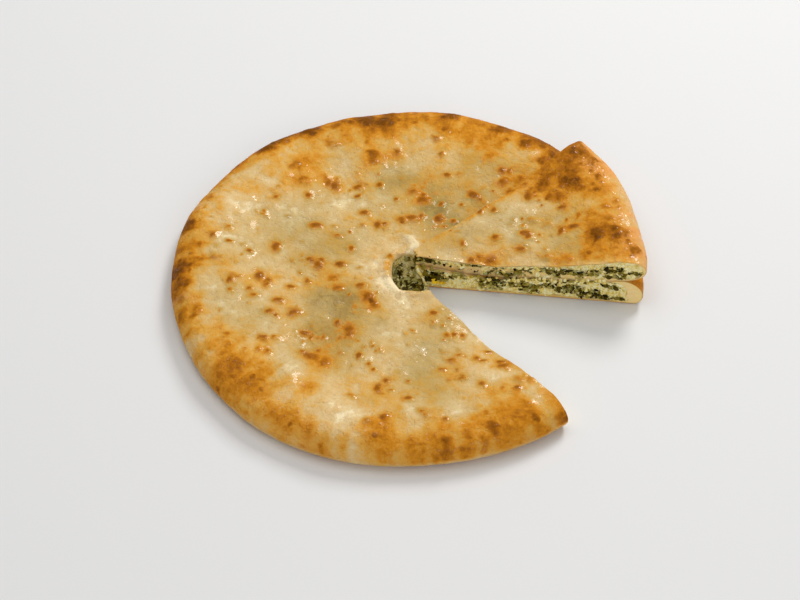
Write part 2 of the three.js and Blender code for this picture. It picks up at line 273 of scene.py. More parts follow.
# Blisters on the pie: x, y, radius and how dark
PIE_BLISTERS = (
    (-87.5, 64, 2.2, 0.8), (-95, 52, 2, 0.7), (-66, 66, 3, 0.9), (-70, 78, 4, 0.5), (-53, 79, 3, 0.9),
    (-49, 76, 3.5, 1), (-33, 76, 3.4, 0.9), (-19, 77, 3, 0.9), (-34, 67, 2.5, 0.9), (-29, 51, 3.2, 0.9),
    (-20, 40, 3, 0.9), (-16, 42, 2, 0.8), (-60, 40, 3.5, 1), (-118, 35, 3, 0.6), (-127, 26, 3, 0.7),
    (-86, 20, 4, 0.9), (-103, 14, 2.5, 0.8), (-126, 8, 3, 0.5), (-58, 5, 3.5, 0.8), (-44, 5, 3, 1),
    (-46, 30, 3, 0.6), (-37, 19, 3, 0.9), (-13, 9, 2.5, 0.5), (-71, -2, 2, 0.7), (-23, 104, 3, 0.8),
    (-24, 98, 2.5, 0.7), (-8, 106.5, 3, 0.8), (-16, 134, 4, 0.9), (-51, 113, 4, 0.5), (-76, 93, 3, 0.6),
    (-96, -7, 3.5, 0.9), (-90, -10, 2.5, 0.7), (-91, -14, 3, 0.7), (-114, -13, 3.5, 0.9),
    (-114, -21, 2, 0.8), (-98, -24, 3, 0.7), (-83, -28, 3.5, 0.8), (-75, -15, 3, 0.8), (-65, -10, 3, 0.7),
    (-48, -7, 3, 0.7), (-45, -18, 4, 0.7), (-31, -15, 3.5, 0.8), (-26, -24, 3.5, 0.9), (-22, -31, 3.2, 0.8),
    (-73, -39, 3.8, 0.8), (-88, -39, 3.5, 0.8), (-45, -46, 2.5, 0.8), (-37, -52, 3.8, 0.8),
    (-38, -57, 2.5, 0.8), (-65, -55, 3, 0.9), (-62, -59, 2, 0.8), (-91, -61.5, 3, 0.8),
    (-84, -61, 2.6, 0.7), (-53, -59, 2.5, 0.6), (-88, -74, 3, 0.7), (-94, -72, 2.6, 0.5),
    (-66, -72, 2.6, 0.7), (-63, -75, 2.4, 0.7), (-59, -78, 2.6, 0.7), (-52, -80, 4, 0.5),
    (-31, -75, 3, 0.9), (-25, -82, 2.5, 0.8), (-24, -64, 2, 0.5), (-28, -68, 2, 0.5), (-14, -96, 2.5, 0.9),
    (-19, -103, 3.2, 0.9), (-35, -110, 3, 0.6), (-26, -132, 2.5, 0.6), (-15, -128, 3, 0.5),
    (-146, -14, 4, 0.5), (-143, -41, 4, 0.4), (-134, -39, 3, 0.4), (-144, -26, 4, 0.4), (16, -39, 3, 0.9),
    (15, -48, 3.5, 0.5), (24, -57, 3.2, 0.7), (29, -56, 2.6, 0.8), (34, -57, 2.6, 0.8), (22, -50, 3, 0.5),
    (27, -79, 3, 0.7), (42, -77, 2.5, 0.7), (20, -86, 2, 0.7), (33, -95, 3, 0.7), (45, -101, 3, 0.7),
    (59, -85, 3.8, 0.8), (57, -80, 2.6, 0.8), (68, -98, 4.5, 0.5), (75, -97, 3.5, 0.5), (50, -70, 2.6, 0.8),
    (46, -80, 2.6, 0.7), (10, -127, 3, 0.6), (-1, -97, 2, 0.6), (0, -113, 3, 0.8), (91, -124, 3.5, 0.4),
    (52, -136, 4, 0.4), (46, -146, 4, 0.4), (24, -149, 4, 0.4), (3, 71, 3, 0.8), (9, 63, 3.5, 0.9),
    (20, 47, 3.5, 1), (21, 60, 2.5, 0.8), (2, 46, 4.5, 0.8), (8, 48, 3, 0.8), (-4, 45, 4, 0.7),
    (30, 45, 3, 0.8), (43, 68, 3.5, 1), (26, 86, 3, 0.8), (62, 79, 3, 0.9), (62, 89, 3, 0.9),
    (66, 88, 2.5, 0.8), (67, 70, 3, 0.9), (19, 119, 3, 0.6), (22, 105, 3, 0.6), (78, 111, 3, 0.6),
    (90, 97, 3.5, 0.6), (35, 60, 2, 0.7), (-95, 111, 5, 0.8), (-85, 118, 4, 0.9), (-68, 130, 4, 0.9),
    (-30, 136, 5, 0.9), (-145, 38, 4, 0.9), (-147, -3, 5, 0.5), (-12, 146, 4, 0.8), (30, 141, 4, 0.6),
    (62, 128, 4, 0.7),
)
SLICE_BLISTERS = (
    (78, 52, 3.6, 0.9), (89, 64, 3.5, 0.6), (86, 58, 3, 0.7), (92, 51, 3.2, 0.7), (97, 48, 3.4, 0.7),
    (107, 56, 4, 0.7), (49, 46, 3, 0.8), (55, 41, 3, 0.8), (35, 12, 3, 0.7), (40, 0, 3, 0.8),
    (45, 2, 2.6, 0.7), (52, -1, 3.2, 0.8), (56, 16, 3.4, 0.8), (75, 20, 3.6, 1), (77, 17, 3, 0.9),
    (72, 6, 3.2, 0.8), (98, 20, 3.2, 0.9), (90, 28, 4, 0.4), (80, 32, 4, 0.4), (132, 15, 3, 0.4),
    (120, 12, 4, 0.6), (100, -5, 4, 0.5), (88, -2, 4, 0.5), (145, -4, 4, 0.5), (115, 85, 4, 0.5),
    (120, 78, 4, 0.4), (135, 40, 3, 0.4), (66, 27, 2, 0.5), (32, 24, 2, 0.5), (124, 62, 3, 0.4),
)

# Small blisters scattered round those, and where each random rule starts
PIE_SPECKS = 150
SLICE_SPECKS = 70
PIE_SPECK_SEED = 191
SLICE_SPECK_SEED = 192
PIE_SEED = 200
SLICE_SEED = 300
LAST_CUT_SEED = 20
GREENS_SEED = 17
CURDS_SEED = 29
LATTICE = (67, 71)

# Small pieces on the seam under the slice, in the hole and at the cuts, and how many a hidden cut gets
SEAM_SHREDS = 60
INNER_SEAM_SHREDS = 26
HOLE_SHREDS = 150
HEAP_SHREDS = 60
YELLOW_SHREDS = 9
SEAM_CURDS = 90
HOLE_CURDS = 26
HIDDEN_SHARE = 0.8

# Where they lie: lengths along the cut, heights on it, and a radius that takes in the hole
SHRED_SEAM = (56, 128)
SHRED_INNER_SEAM = (13, 56)
CURD_SEAM = (54, 132)
CURD_REACH = (20, 146)
CURD_HEIGHTS = (1, 15)
HOLE_REACH = 18

# Width of a shred: the least, what the widest add, and how much wider those in the hole are
SHRED_WIDTH = 0.6
SHRED_WIDTH_MORE = 2.6
HOLE_SHRED_WIDER = 1.8

# Grey-green places where greens lie close under the thin dough: x, y, radius and strength. On the pie, the
# places beside the slice's far edge are painted shade
PIE_SHADOWS = (
    (-50, 20, 24, 0.8), (-38, -29, 13, 0.8), (-50, -24, 15, 0.7), (-30, -20, 9, 0.4), (-62, -24, 11, 0.5),
    (62, 84, 24, 0.6), (-62, -48, 15, 0.7), (8, -66, 20, 0.7), (5, -95, 18, 0.6), (-18, -45, 12, 0.6),
    (15, 55, 11, 0.9), (15, 32, 12, 0.4), (22, 44, 12, 0.5), (45, 62, 10, 0.7), (-80, 42, 18, 0.5),
    (-60, 62, 15, 0.5), (-116, -30, 16, 0.4), (25, -40, 9, 0.5), (-25, -112, 8, 0.5), (45, 98, 14, 0.4),
    (-95, -48, 14, 0.5), (-100, 24, 14, 0.2), (36, 40, 10, 0.8), (-8, 84, 12, 0.4), (20, -110, 12, 0.4),
    (-75, 8, 12, 0.4), (-42, -60, 22, 0.8), (-10, 86, 34, 0.6), (20, 70, 20, 0.5), (-70, -72, 14, 0.4),
    (-40, -85, 14, 0.4),
)
SLICE_SHADOWS = (
    (62, 30, 16, 0.5), (100, 38, 13, 0.5), (68, 14, 8, 0.6), (22, 12, 16, 0.7), (95, 6, 14, 0.5),
    (110, 8, 12, 0.4), (40, 24, 14, 0.6), (80, 34, 16, 0.4), (60, 44, 12, 0.3),
)

# Pale stretched dough, round the hole and where the top bulges: x, y, radius and strength. On the pie they
# are partly painted highlight and sheen, on the fold beside the hole, its lip and the bulges
PIE_PALE_AND_HIGHLIGHTS = (
    (-1, 28, 4, 1), (3, 22, 4, 1.5), (4, 16, 3.6, 1.7), (1, 12.5, 3.4, 1.4), (-11.5, -10, 2.6, 1),
    (-9.5, -15, 2.6, 1), (-6, -18.5, 2.6, 0.8), (-19, -12, 6, 0.7), (-20, -18, 6, 0.5), (-10, 16, 5, 0.5),
    (-50, -116, 14, 1.3), (-38, -132, 11, 1.2), (-72, -88, 9, 1.3), (78, -110, 7, 0.6),
    (-118, -26, 14, 0.4), (-104, 30, 12, 0.3), (-32, 62, 8, 0.6), (-10, 62, 6, 0.5), (40, -86, 11, 0.7),
    (52, -94, 8, 0.6), (-12, -24, 8, 0.4), (-2, -48, 8, 0.3), (-42, 66, 8, 0.5), (-14, 92, 6, 0.5),
    (-68, 30, 9, 0.3), (-100, 42, 24, 0.25), (-95, 75, 14, 0.3), (-125, 5, 9, 0.4), (-38, -105, 10, 0.4),
    (24, -64, 14, 0.5), (32, -98, 14, 0.4), (-120, -64, 10, 0.3), (-122, 4, 8, 0.3), (-136, -26, 8, 0.35),
    (-92, 54, 9, 0.2), (-100, -74, 9, 0.35), (-55, -126, 8, 0.4), (46, -118, 9, 0.4), (-10, 40, 6, 0.4),
    (32, 82, 8, 0.3), (64, -90, 8, 0.4), (20, -58, 8, 0.2), (-70, -50, 9, 0.2), (100, 82, 6, 0.3),
    (-78, 16, 26, 0.2),
)
SLICE_PALE = (
    (62, 32, 13, 0.7), (80, 42, 8, 0.6), (106, 48, 6, 0.6), (79, 12, 6, 0.8), (68, 18, 5, 0.6),
    (38, 30, 8, 0.4), (112, 22, 7, 0.3), (116, 62, 6, 0.5), (112, 50, 5, 0.4),
)

# Puffed places of the top: x, y, radius and height
PIE_BULGES = (
    (-72, -88, 11, 0.7), (-48, -116, 12, 0.9), (-36, -136, 9, 0.9), (78, -110, 8, 0.4), (-30, 62, 8, 0.8),
    (40, -90, 7, 0.8),
)

# Clumps of greens on the cuts: length along the cut, height, half length and half height
PIE_CLUMPS = (
    (22, 10, 8, 4), (36, 11, 4, 1.6), (52, 7, 2.5, 4), (60, 7, 5, 5), (70, 9, 5, 3), (83, 6.5, 7, 4.5),
    (94, 10, 4, 2.5), (107, 9, 7, 4), (122, 6, 7, 3.5), (134, 3.6, 10, 1.6), (135, 13, 5, 2),
)
SLICE_CLUMPS = (
    (13, 6, 5, 3), (25, 3.5, 5, 1.2), (42, 5.5, 7, 2.6), (58, 5, 6, 3), (68, 4, 6, 3), (78, 5, 4, 3),
    (97, 8, 13, 1.3), (97, 5, 5, 2.4), (112, 4, 5, 2), (122, 7, 5, 2.6), (135, 9, 6.5, 3.4), (135, 3, 7, 2),
    (149, 8, 4, 1.8),
)
HIDDEN_CLUMPS = (
    (24, 9, 9, 3), (40, 5, 4, 2), (51, 9, 6, 2), (66, 5, 10, 3), (83, 8, 6, 3), (96, 4, 8, 2),
    (107, 9, 10, 2.4), (124, 5, 6, 3), (136, 8, 5, 2),
)


def bell(t):
    """A hump that is 1 in the middle and dies away on both sides."""
    return np.exp(-t * t)


def step(low, high, value):
    """A smooth rise from 0 at low to 1 at high."""
    t = np.clip((value - low) / (high - low), 0, 1)
    return t * t * (3 - 2 * t)


def quintic(t):
    """A rise from 0 to 1 that is level at both ends."""
    return t**3 * (t * (t * 6 - 15) + 10)


def lattice_noise(x, y, cell, seed):
    """Random heights from -1 to 1 on a square lattice, blended across each cell by a quintic curve."""
    heights = np.random.default_rng(seed).uniform(-1, 1, LATTICE)
    u = np.asarray(x) / cell
    v = np.asarray(y) / cell
    i = np.floor(u).astype(int)
    j = np.floor(v).astype(int)
    across = quintic(u - i)
    upward = quintic(v - j)
    left, right = i % LATTICE[0], (i + 1) % LATTICE[0]
    lower, upper = j % LATTICE[1], (j + 1) % LATTICE[1]
    low = heights[left, lower] * (1 - across) + heights[right, lower] * across
    high = heights[left, upper] * (1 - across) + heights[right, upper] * across
    return low * (1 - upward) + high * upward


def layered_noise(x, y, cell, seed):
    """Lattice noise in three sizes, each half as large and half as strong as the one before."""
    layers = [lattice_noise(x, y, cell / 2**k, seed + k) / 2**k for k in range(3)]
    return sum(layers) / 1.5


def hump_sum(spots, x, y):
    """Sum of round humps, each with its own place, radius and strength."""
    total = np.zeros_like(x)
    for spot_x, spot_y, radius, strength in spots:
        total += strength * bell(np.hypot(x - spot_x, y - spot_y) / radius)
    return total


def cut_place(apex, degrees, x, y):
    """Length along a cut that leaves the apex in a direction, and distance to the left of it."""
    angle = math.radians(degrees)
    dx = x - apex[0]
    dy = y - apex[1]
    return dx * math.cos(angle) + dy * math.sin(angle), dy * math.cos(angle) - dx * math.sin(angle)


def dough_height(middle, radius):
    """Height of dough over its base at a distance from the middle: a collar, a dip and a raised ring."""
    ring = RING_RISE * bell((radius - RING_RADIUS) / RING_WIDTH)
    return middle + ring + COLLAR_RISE * bell(radius / COLLAR_WIDTH)


def plain_top(x, y):
    """Top of the pie without its small forms: the height of the dough and two crossed waves."""
    turn = 2 * math.pi / SWELL_LENGTH
    swell = SWELL * (np.sin(turn * (x + 0.4 * y)) + np.sin(turn * (y - 0.6 * x) + 1))
    return dough_height(MIDDLE_THICKNESS, np.hypot(x, y)) + swell


def cut_sag(sag, along, off):
    """How far a crust sinks at places along a cut and off it, most in the middle of the sag."""
    depth, middle, half, width = sag
    return depth * bell((along - middle) / half) * bell(off / width)


def pie_sag(sag, degrees, x, y):
    """How far the pie's crust sinks along one of its cuts, starting outside the hole."""
    along, off = cut_place(CUT_APEX, degrees, x, y)
    return cut_sag(sag, along, off) * step(0, 20, along)


def under_slice(x, y):
    """1 where the slice lies on the crust and 0 away from it."""
    near_along, near_off = cut_place(SLICE_APEX, SLICE_NEAR_CUT, x, y)
    far_off = cut_place(SLICE_APEX, SLICE_FAR_CUT, x, y)[1]
    return step(-3.5, -1, near_off) * step(-2, -0.6, -far_off) * step(2, 5, near_along)


def hole_distance(x, y):
    """Distance outside the lip of the steam hole, along the line from the point where the two cuts meet."""
    dx = x - CUT_APEX[0]
    dy = y - CUT_APEX[1]
    return np.hypot(dx, dy) - pie_opening(np.arctan2(dy, dx))


def rim_streaks(centre, x, y):
    """Short streaks across the edge, from -1 to 1, fading out towards the middle."""
    dx = x - centre[0]
    dy = y - centre[1]
    radius = np.hypot(dx, dy)
    return layered_noise(np.arctan2(dy, dx) * 150, radius * 0.3, cell=9, seed=181) * step(95, 135, radius)


def edge_relief(relief, centre, x, y):
    """Unevenness of a top close to its edge, with streaks across the edge."""
    height, start, size, seed, streak = relief
    radius = np.hypot(x - centre[0], y - centre[1])
    uneven = height * step(start, EDGE_RELIEF_FULL, radius) * layered_noise(x, y, cell=size, seed=seed)
    return uneven + streak * rim_streaks(centre, x, y)


def puff_height(puffs, x, y):
    """Soft unevenness of a top, in a few sizes."""
    return sum(height * layered_noise(x, y, cell=size, seed=seed) for height, size, seed in puffs)


def ragged_cut(ragged, along, off):
    """Unevenness of a top close to a cut."""
    height, seed = ragged
    return height * layered_noise(along, off * 0.4, cell=7, seed=seed) * bell(off / 5)


def fold_height(x, y):
    """A fold of dough beside the hole, from 0 to 1: a slow rise to a bent line and a quick drop."""
    corners = np.array(FOLD_LINE)
    number = np.arange(len(corners))
    along = np.linspace(0, number[-1], FOLD_POINTS)
    line_x, line_y = (np.interp(along, number, part) for part in corners.T)
    strength = np.sin(np.pi * np.linspace(0.08, 0.86, FOLD_POINTS)) ** 0.7
    ridge = np.zeros_like(x)
    for place_x, place_y, size in zip(line_x, line_y, strength):
        wide = np.where(x < place_x, FOLD_SLOW_SIDE, FOLD_STEEP_SIDE)
        away = np.hypot((x - place_x) / wide, (y - place_y) / FOLD_SPREAD)
        ridge = np.maximum(ridge, size * bell(away))
    return ridge


def blister_relief(spots, height, x, y):
    """Height of the blisters, each a low dome, and how brown they are, most at their back left."""
    rise = np.zeros_like(x)
    core = np.zeros_like(x)
    warp_x = x + 0.9 * layered_noise(x, y, cell=6, seed=141)
    warp_y = y + 0.9 * layered_noise(x, y, cell=6, seed=151)
    for spot_x, spot_y, radius, dark in spots:
        stretch = 1 + 0.18 * math.sin(7 * spot_x + 3 * spot_y)
        across = (warp_x - spot_x) / stretch / radius
        along = (warp_y - spot_y) * stretch / radius
        dome = np.clip(1.2 - across**2 - along**2, 0, 1) ** 1.5
        rise = np.maximum(rise, height * min(1, radius / 4) * dome)
        away = np.hypot(across + 0.25, along - 0.25)
        core = np.maximum(core, (0.35 + 0.65 * dark) * np.clip(1 - away / 2.4, 0, 1))
    return rise, core


def with_specks(spots, count, seed):
    """The listed blisters and many small ones scattered round them."""
    draw = np.random.default_rng(seed)
    chosen = np.array(spots)[draw.integers(0, len(spots), count)]
    places = chosen[:, :2] + draw.normal(0, 9, (count, 2))
    radius = draw.uniform(1, 2.4, count)
    dark = draw.uniform(0.2, 0.9, count)
    return [*spots, *np.column_stack([places, radius, dark]).tolist()]


@dataclass
class Round:
    """A round of filled dough, swept about the point where its cuts meet, from the first to the last."""

    apex: tuple
    first: float
    last: float
    sections: int
    centre: tuple
    diameter: float
    waves: tuple
    bulges: tuple
    bumps: float
    edge_width: float
    under_width: float
    waist: float
    under_toast: float
    toast: float
    blisters: list
    rim_dough: float
    inner_edge: float
    inner_under: float
    strip: float
    rim_brown: tuple
    patches: list
    shadows: tuple
    pale: tuple
    clumps: tuple
    seed: int
    skin: float
    base_skin: float
    base: Callable
    top: Callable
    opening: Callable
    foot: Callable
    hollow: Callable

    def at(self, turn, s):
        """Plan position at a direction from the apex and a distance along it."""
        return self.apex[0] + s * np.cos(turn), self.apex[1] + s * np.sin(turn)

    def outline(self, x, y):
        """Distance from a plan position out to the wavy outline, measured from the centre."""
        angle = np.arctan2(y - self.centre[1], x - self.centre[0])
        radius = self.diameter / 2
        for lobes, size, crest in self.waves:
            radius = radius + size * np.cos(lobes * (angle - math.radians(crest)))
        for degrees, spread, rise in self.bulges:
            aside = (np.degrees(angle) - degrees + 180) % 360 - 180
            radius = radius + rise * bell(aside / spread)
        ring = 60 * np.cos(angle), 60 * np.sin(angle)
        radius = radius + self.bumps * layered_noise(ring[0], ring[1], cell=6, seed=81)
        return radius - np.hypot(x - self.centre[0], y - self.centre[1])

    def reach(self, turn):
        """Distance from the apex to the outline in each direction, found by repeated correction."""
        s = np.full_like(turn, self.diameter / 2)
        for _ in range(8):
            s = s + self.outline(*self.at(turn, s))
        return s


def pie_opening(turn):
    """Distance from the point where the two cuts meet to the lip of the steam hole, with a ragged edge."""
    degrees = (np.degrees(turn) + 20) % 360 - 20
    directions = [row[0] for row in HOLE_LIP]
    lengths = [row[1] for row in HOLE_LIP]
    smooth = [np.interp(degrees + aside, directions, lengths) for aside in (-6, 0, 0, 6)]
    return sum(smooth) / 4 * (1 + 0.025 * lattice_noise(degrees / 9, degrees * 0, cell=1.3, seed=5))


def pie_hollow(turn, level):
    """Distance from the apex to the filling round the steam hole at a level from 0, the base, to 1, under
    the lip. It is a bowl with a flat floor, and close to the far cut it leans out over the cut's foot."""
    bowl = np.clip(level / 0.32, 0, 1)
    bowl = (1 - (1 - bowl) ** 2.6) * 0.9 + 0.1 * level
    leaning = 17 - 6 * level
    weight = bell((turn - math.radians(FAR_CUT)) / 0.34)
    return weight * leaning + (1 - weight) * (pie_opening(turn) + 1.4) * bowl


def slice_opening(turn):
    """Distance from the slice's apex to its blunt point, with a ragged edge."""
    return SLICE_TIP + 0.8 * lattice_noise(turn * 9, turn * 0, cell=1.1, seed=9)


def slice_hollow(turn, level):
    """Distance from the slice's apex to its filling at the point, which bulges at half height."""
    return slice_opening(turn) + 1.2 - 1.6 * np.sin(np.pi * level)


def pie_round(settings):
    """The pie: its top is the plain top with sagging cuts, a rolled lip, a fold, wrinkles and blisters."""
    blisters = with_specks(PIE_BLISTERS, PIE_SPECKS, PIE_SPECK_SEED)

    def top(x, y):
        open_air = 1 - under_slice(x, y)
        lip = hole_distance(x, y)
        angle = np.arctan2(y - HOLE_CENTRE[1], x - HOLE_CENTRE[0])
        drop = LIP_DROP - BACK_LESS * bell((angle - BACK_ANGLE) / BACK_WIDTH)
        roll = settings.lip_roll / MM * bell((lip - ROLL_OUT) / ROLL_WIDTH)
        roll = roll - drop * np.clip(1 - lip / LIP_EDGE, 0, 1) ** 2
        crease = np.sin(CREASES * angle + 3 * lattice_noise(x, y, cell=9, seed=3))
        crease = crease * bell((lip - CREASE_OUT) / CREASE_WIDTH)
        wrinkle = CREASE_HEIGHT * crease * step(0.2, -0.5, np.cos(angle - 0.5))
        blister = blister_relief(blisters, settings.blister_height / MM, x, y)[0]
        puff = puff_height(PIE_PUFFS, x, y) + hump_sum(PIE_BULGES, x, y)
        edge = edge_relief(PIE_EDGE_RELIEF, (0, 0), x, y)
        fold = settings.fold_height / MM * fold_height(x, y)
        along, off = cut_place(CUT_APEX, NEAR_CUT, x, y)
        ragged = ragged_cut(PIE_RAGGED, along, off) * step(20, 40, along)
        small = (roll + wrinkle + blister + puff + edge + fold + ragged) * open_air
        sunk = plain_top(x, y) - pie_sag(FAR_SAG, FAR_CUT, x, y) - pie_sag(NEAR_SAG, NEAR_CUT, x, y)
        return sunk + small - PRESSED * (1 - open_air)

    return Round(
        apex=CUT_APEX,
        first=FAR_CUT,
        last=NEAR_CUT,
        sections=PIE_SECTIONS,
        centre=(0, 0),
        diameter=PIE_DIAMETER,
        waves=PIE_WAVES,
        bulges=PIE_EDGE_BULGES,
        bumps=0.5,
        edge_width=EDGE_WIDTH,
        under_width=UNDER_WIDTH,
        waist=WAIST_HEIGHT,
        under_toast=0.56,
        toast=0.275,
        blisters=blisters,
        rim_dough=PIE_RIM_DOUGH,
        inner_edge=INNER_EDGE_WIDTH,
        inner_under=INNER_UNDER_WIDTH,
        strip=7,
        rim_brown=PIE_RIM_BROWN,
        patches=PIE_PATCHES,
        shadows=PIE_SHADOWS,
        pale=PIE_PALE_AND_HIGHLIGHTS,
        clumps=PIE_CLUMPS,
        seed=PIE_SEED,
        skin=settings.skin / MM,
        base_skin=0.9,
        base=lambda x, y: np.zeros_like(x),
        top=top,
        opening=pie_opening,
        foot=np.zeros_like,
        hollow=pie_hollow,
    )


def far_edge_patches():
    """A broken golden line along the slice's far cut, as a row of small patches."""
    along = np.arange(26, 150, 5)
    x = SLICE_APEX[0] + along * math.cos(math.radians(SLICE_FAR_CUT))
    y = SLICE_APEX[1] + along * math.sin(math.radians(SLICE_FAR_CUT))
    strength = 0.06 + 0.16 * np.abs(np.sin(along / 11))
    return np.column_stack([x, y, np.full(len(along), 3.0), strength]).tolist()


def slice_round(settings):
    """The slice: it rests on the plain top of the pie, with a ring, sagging cuts and a lifted corner."""
    blisters = with_specks(SLICE_BLISTERS, SLICE_SPECKS, SLICE_SPECK_SEED)

    def base(x, y):
        return plain_top(x, y) - pie_sag(FAR_SAG, FAR_CUT, x, y) + REST_GAP

    def top(x, y):
        radius = np.hypot(x - SLICE_CENTRE[0], y - SLICE_CENTRE[1])
        along, off = cut_place(SLICE_APEX, SLICE_NEAR_CUT, x, y)
        far_along, far_off = cut_place(SLICE_APEX, SLICE_FAR_CUT, x, y)
        sag = cut_sag(SLICE_NEAR_SAG, along, off) + cut_sag(SLICE_FAR_SAG, far_along, far_off)
        corner = hump_sum([LIFTED_CORNER], x, y)
        blister = blister_relief(blisters, settings.blister_height / MM, x, y)[0]
        puff = puff_height(SLICE_PUFFS, x, y)
        edge = edge_relief(SLICE_EDGE_RELIEF, SLICE_CENTRE, x, y)
        point = POINT_THINNER * bell(radius / POINT_RADIUS)
        ragged = ragged_cut(SLICE_RAGGED, along, off)
        thickness = dough_height(SLICE_THICKNESS, radius) - point - sag + corner
        return base(x, y) + thickness + blister + puff + edge + ragged

    return Round(
        apex=SLICE_APEX,
        first=SLICE_NEAR_CUT,
        last=SLICE_FAR_CUT,
        sections=SLICE_SECTIONS,
        centre=SLICE_CENTRE,
        diameter=SLICE_DIAMETER,
        waves=SLICE_WAVES,
        bulges=(),
        bumps=0.4,
        edge_width=SLICE_EDGE_WIDTH,
        under_width=SLICE_UNDER_WIDTH,
        waist=SLICE_WAIST,
        under_toast=0.24,
        toast=0.28,
        blisters=blisters,
        rim_dough=SLICE_RIM_DOUGH,
        inner_edge=SLICE_INNER_EDGE,
        inner_under=SLICE_INNER_UNDER,
        strip=12.5,
        rim_brown=SLICE_RIM_BROWN,
        patches=[*SLICE_PATCHES, *far_edge_patches()],
        shadows=SLICE_SHADOWS,
        pale=SLICE_PALE,
        clumps=SLICE_CLUMPS,
        seed=SLICE_SEED,
        skin=settings.skin / MM,
        base_skin=1.7,
        base=base,
        top=top,
        opening=slice_opening,
        foot=slice_opening,
        hollow=slice_hollow,
    )


def grid_quads(rows, columns, start=0):
    """Faces of a grid, as rows and columns of faces. Its points are numbered row by row."""
    across = columns + 1
    corner = (np.arange(rows)[:, None] * across + np.arange(columns)).ravel() + start
    return np.stack([corner, corner + across, corner + across + 1, corner + 1], axis=-1)


def ring_quads(rows, sides):
    """Faces of rows between rings of points, each ring closed on itself."""
    side = np.arange(sides)
    follow = (side + 1) % sides
    ring = np.arange(rows)[:, None] * sides
    corners = [ring + side, ring + follow, ring + sides + follow, ring + sides + side]
    return np.stack(corners, axis=-1).reshape(-1, 4)


def unit(vectors):
    """Vectors of the same directions and of length 1."""
    return vectors / np.linalg.norm(vectors, axis=-1, keepdims=True)


def quarter(rows):
    """Angles of a quarter turn in equal steps, without the first."""
    return np.linspace(0, math.pi / 2, rows + 1)[None, 1:]


def outer_rows(shape, turn):
    """Distances and heights of a crust's outside. The top runs from the lip to the edge, two quarter
    ellipses that meet at a waist make the edge, and the base runs back to the foot."""
    far = shape.reach(turn)
    lip = shape.opening(turn)
    foot = shape.foot(turn)
    over = quarter(EDGE_ROWS)
    tuck = quarter(UNDER_ROWS)
    back = np.linspace(1, 0, BASE_ROWS + 1)[None, 1:]
    s = np.hstack(
        [
            lip + (far - shape.edge_width - lip) * np.linspace(0, 1, TOP_ROWS + 1)[None, :],
            far - shape.edge_width * (1 - np.sin(over)),
            far - shape.under_width * (1 - np.cos(tuck)),
            foot + (far - shape.under_width - foot) * back,
        ]
    )
    level = np.hstack(
        [np.ones(TOP_ROWS + 1), np.cos(over[0]), -np.sin(tuck[0]), -np.ones(BASE_ROWS)],
    )[None, :]
    x, y = shape.at(turn, s)
    base = shape.base(x, y)
    waist = base + shape.waist
    z = np.where(level > 0, waist + (shape.top(x, y) - waist) * level, waist + shape.waist * level)
    return s, z


def inner_rows(shape, turn):
    """Distances and heights of a crust's inside, one row for each few rows of the outside."""
    far = shape.reach(turn) - shape.rim_dough
    lip = shape.opening(turn)
    foot = shape.foot(turn)
    over = quarter(INNER_EDGE_ROWS)
    tuck = quarter(INNER_UNDER_ROWS)
    s = np.hstack(
        [
            lip + (far - shape.inner_edge - lip) * np.linspace(0, 1, INNER_TOP_ROWS + 1)[None, :],
            far - shape.inner_edge * (1 - np.sin(over)),
            far - shape.inner_under * (1 - np.cos(tuck)),
            foot,
        ]
    )
    level = np.hstack([np.ones(INNER_TOP_ROWS + 1), np.cos(over[0]), -np.sin(tuck[0]), [-1]])[None, :]
    return s, hollow_height(shape, turn, s, level)


def hollow_height(shape, turn, s, level):
    """Height inside a crust at a level from -1, on the base, through 0, at the waist, to 1, under the top.
    The skin grows thicker away from the two cuts."""
    x, y = shape.at(turn, s)
    from_first = s * (turn - math.radians(shape.first))
    from_last = s * (math.radians(shape.last) - turn)
    skin = shape.skin + SKIN_MORE_INSIDE * step(0.4, 6, np.minimum(from_first, from_last))
    floor = shape.base(x, y) + shape.base_skin
    ceiling = shape.top(x, y) - skin
    waist = floor + FILLING_WAIST * (ceiling - floor)
    return waist + np.where(level > 0, ceiling - waist, waist - floor) * level


def crust_surface(shape):
    """A closed section, outside, inside and a rounded lip, carried round the apex, with a cap on each cut.
    A cap has a thin strip of baked crust along its outside, and pale dough within."""
    turn = np.radians(np.linspace(shape.first, shape.last, shape.sections + 1))[:, None]
    out_s, out_z = outer_rows(shape, turn)
    in_s, in_z = inner_rows(shape, turn)
    half = np.linspace(0, math.pi, LIP_ROWS + 2)[None, 1:-1]
    middle = (out_z[:, :1] + in_z[:, :1]) / 2
    lip_s = out_s[:, :1] - 0.5 * shape.skin * np.sin(half)
    lip_z = middle - 0.5 * shape.skin * np.cos(half)
    s = np.hstack([out_s, in_s[:, ::-1], lip_s])
    z = np.hstack([out_z, in_z[:, ::-1], lip_z])
    crumb = np.hstack([np.zeros(OUTER_ROWS + 1), np.ones(INNER_ROWS + 1), np.linspace(0.6, 0.1, LIP_ROWS)])
    crumb = crumb * rim_share(shape, out_s.max(axis=1, keepdims=True) - s)
    x, y = shape.at(turn, s)

    points = [np.stack([x, y, z], axis=-1).reshape(-1, 3)]
    crumbs = [crumb.ravel()]
    quads = [ring_quads(shape.sections, SECTION)]
    triangles = []
    count = s.size
    for section in (0, shape.sections):
        cap = cut_cap(shape, turn[section], out_s[section], out_z[section])
        strip, cap_quads, cap_triangles, share = cap
        number = np.hstack([np.arange(SECTION) + section * SECTION, np.arange(len(strip)) + count])
        quads.append(number[cap_quads])
        triangles.append(number[cap_triangles])
        points.append(strip)
        crumbs.append(share)
        count += len(strip)
    return np.vstack(points), np.vstack(quads), np.vstack(triangles), np.hstack(crumbs)


def rim_share(shape, inset):
    """Cut dough at a distance in from the outline: 1 in the thick rim and 0.5 in the thin, soaked skins."""
    return 0.5 + 0.5 * step(shape.rim_dough + 12, shape.rim_dough + 2, inset)


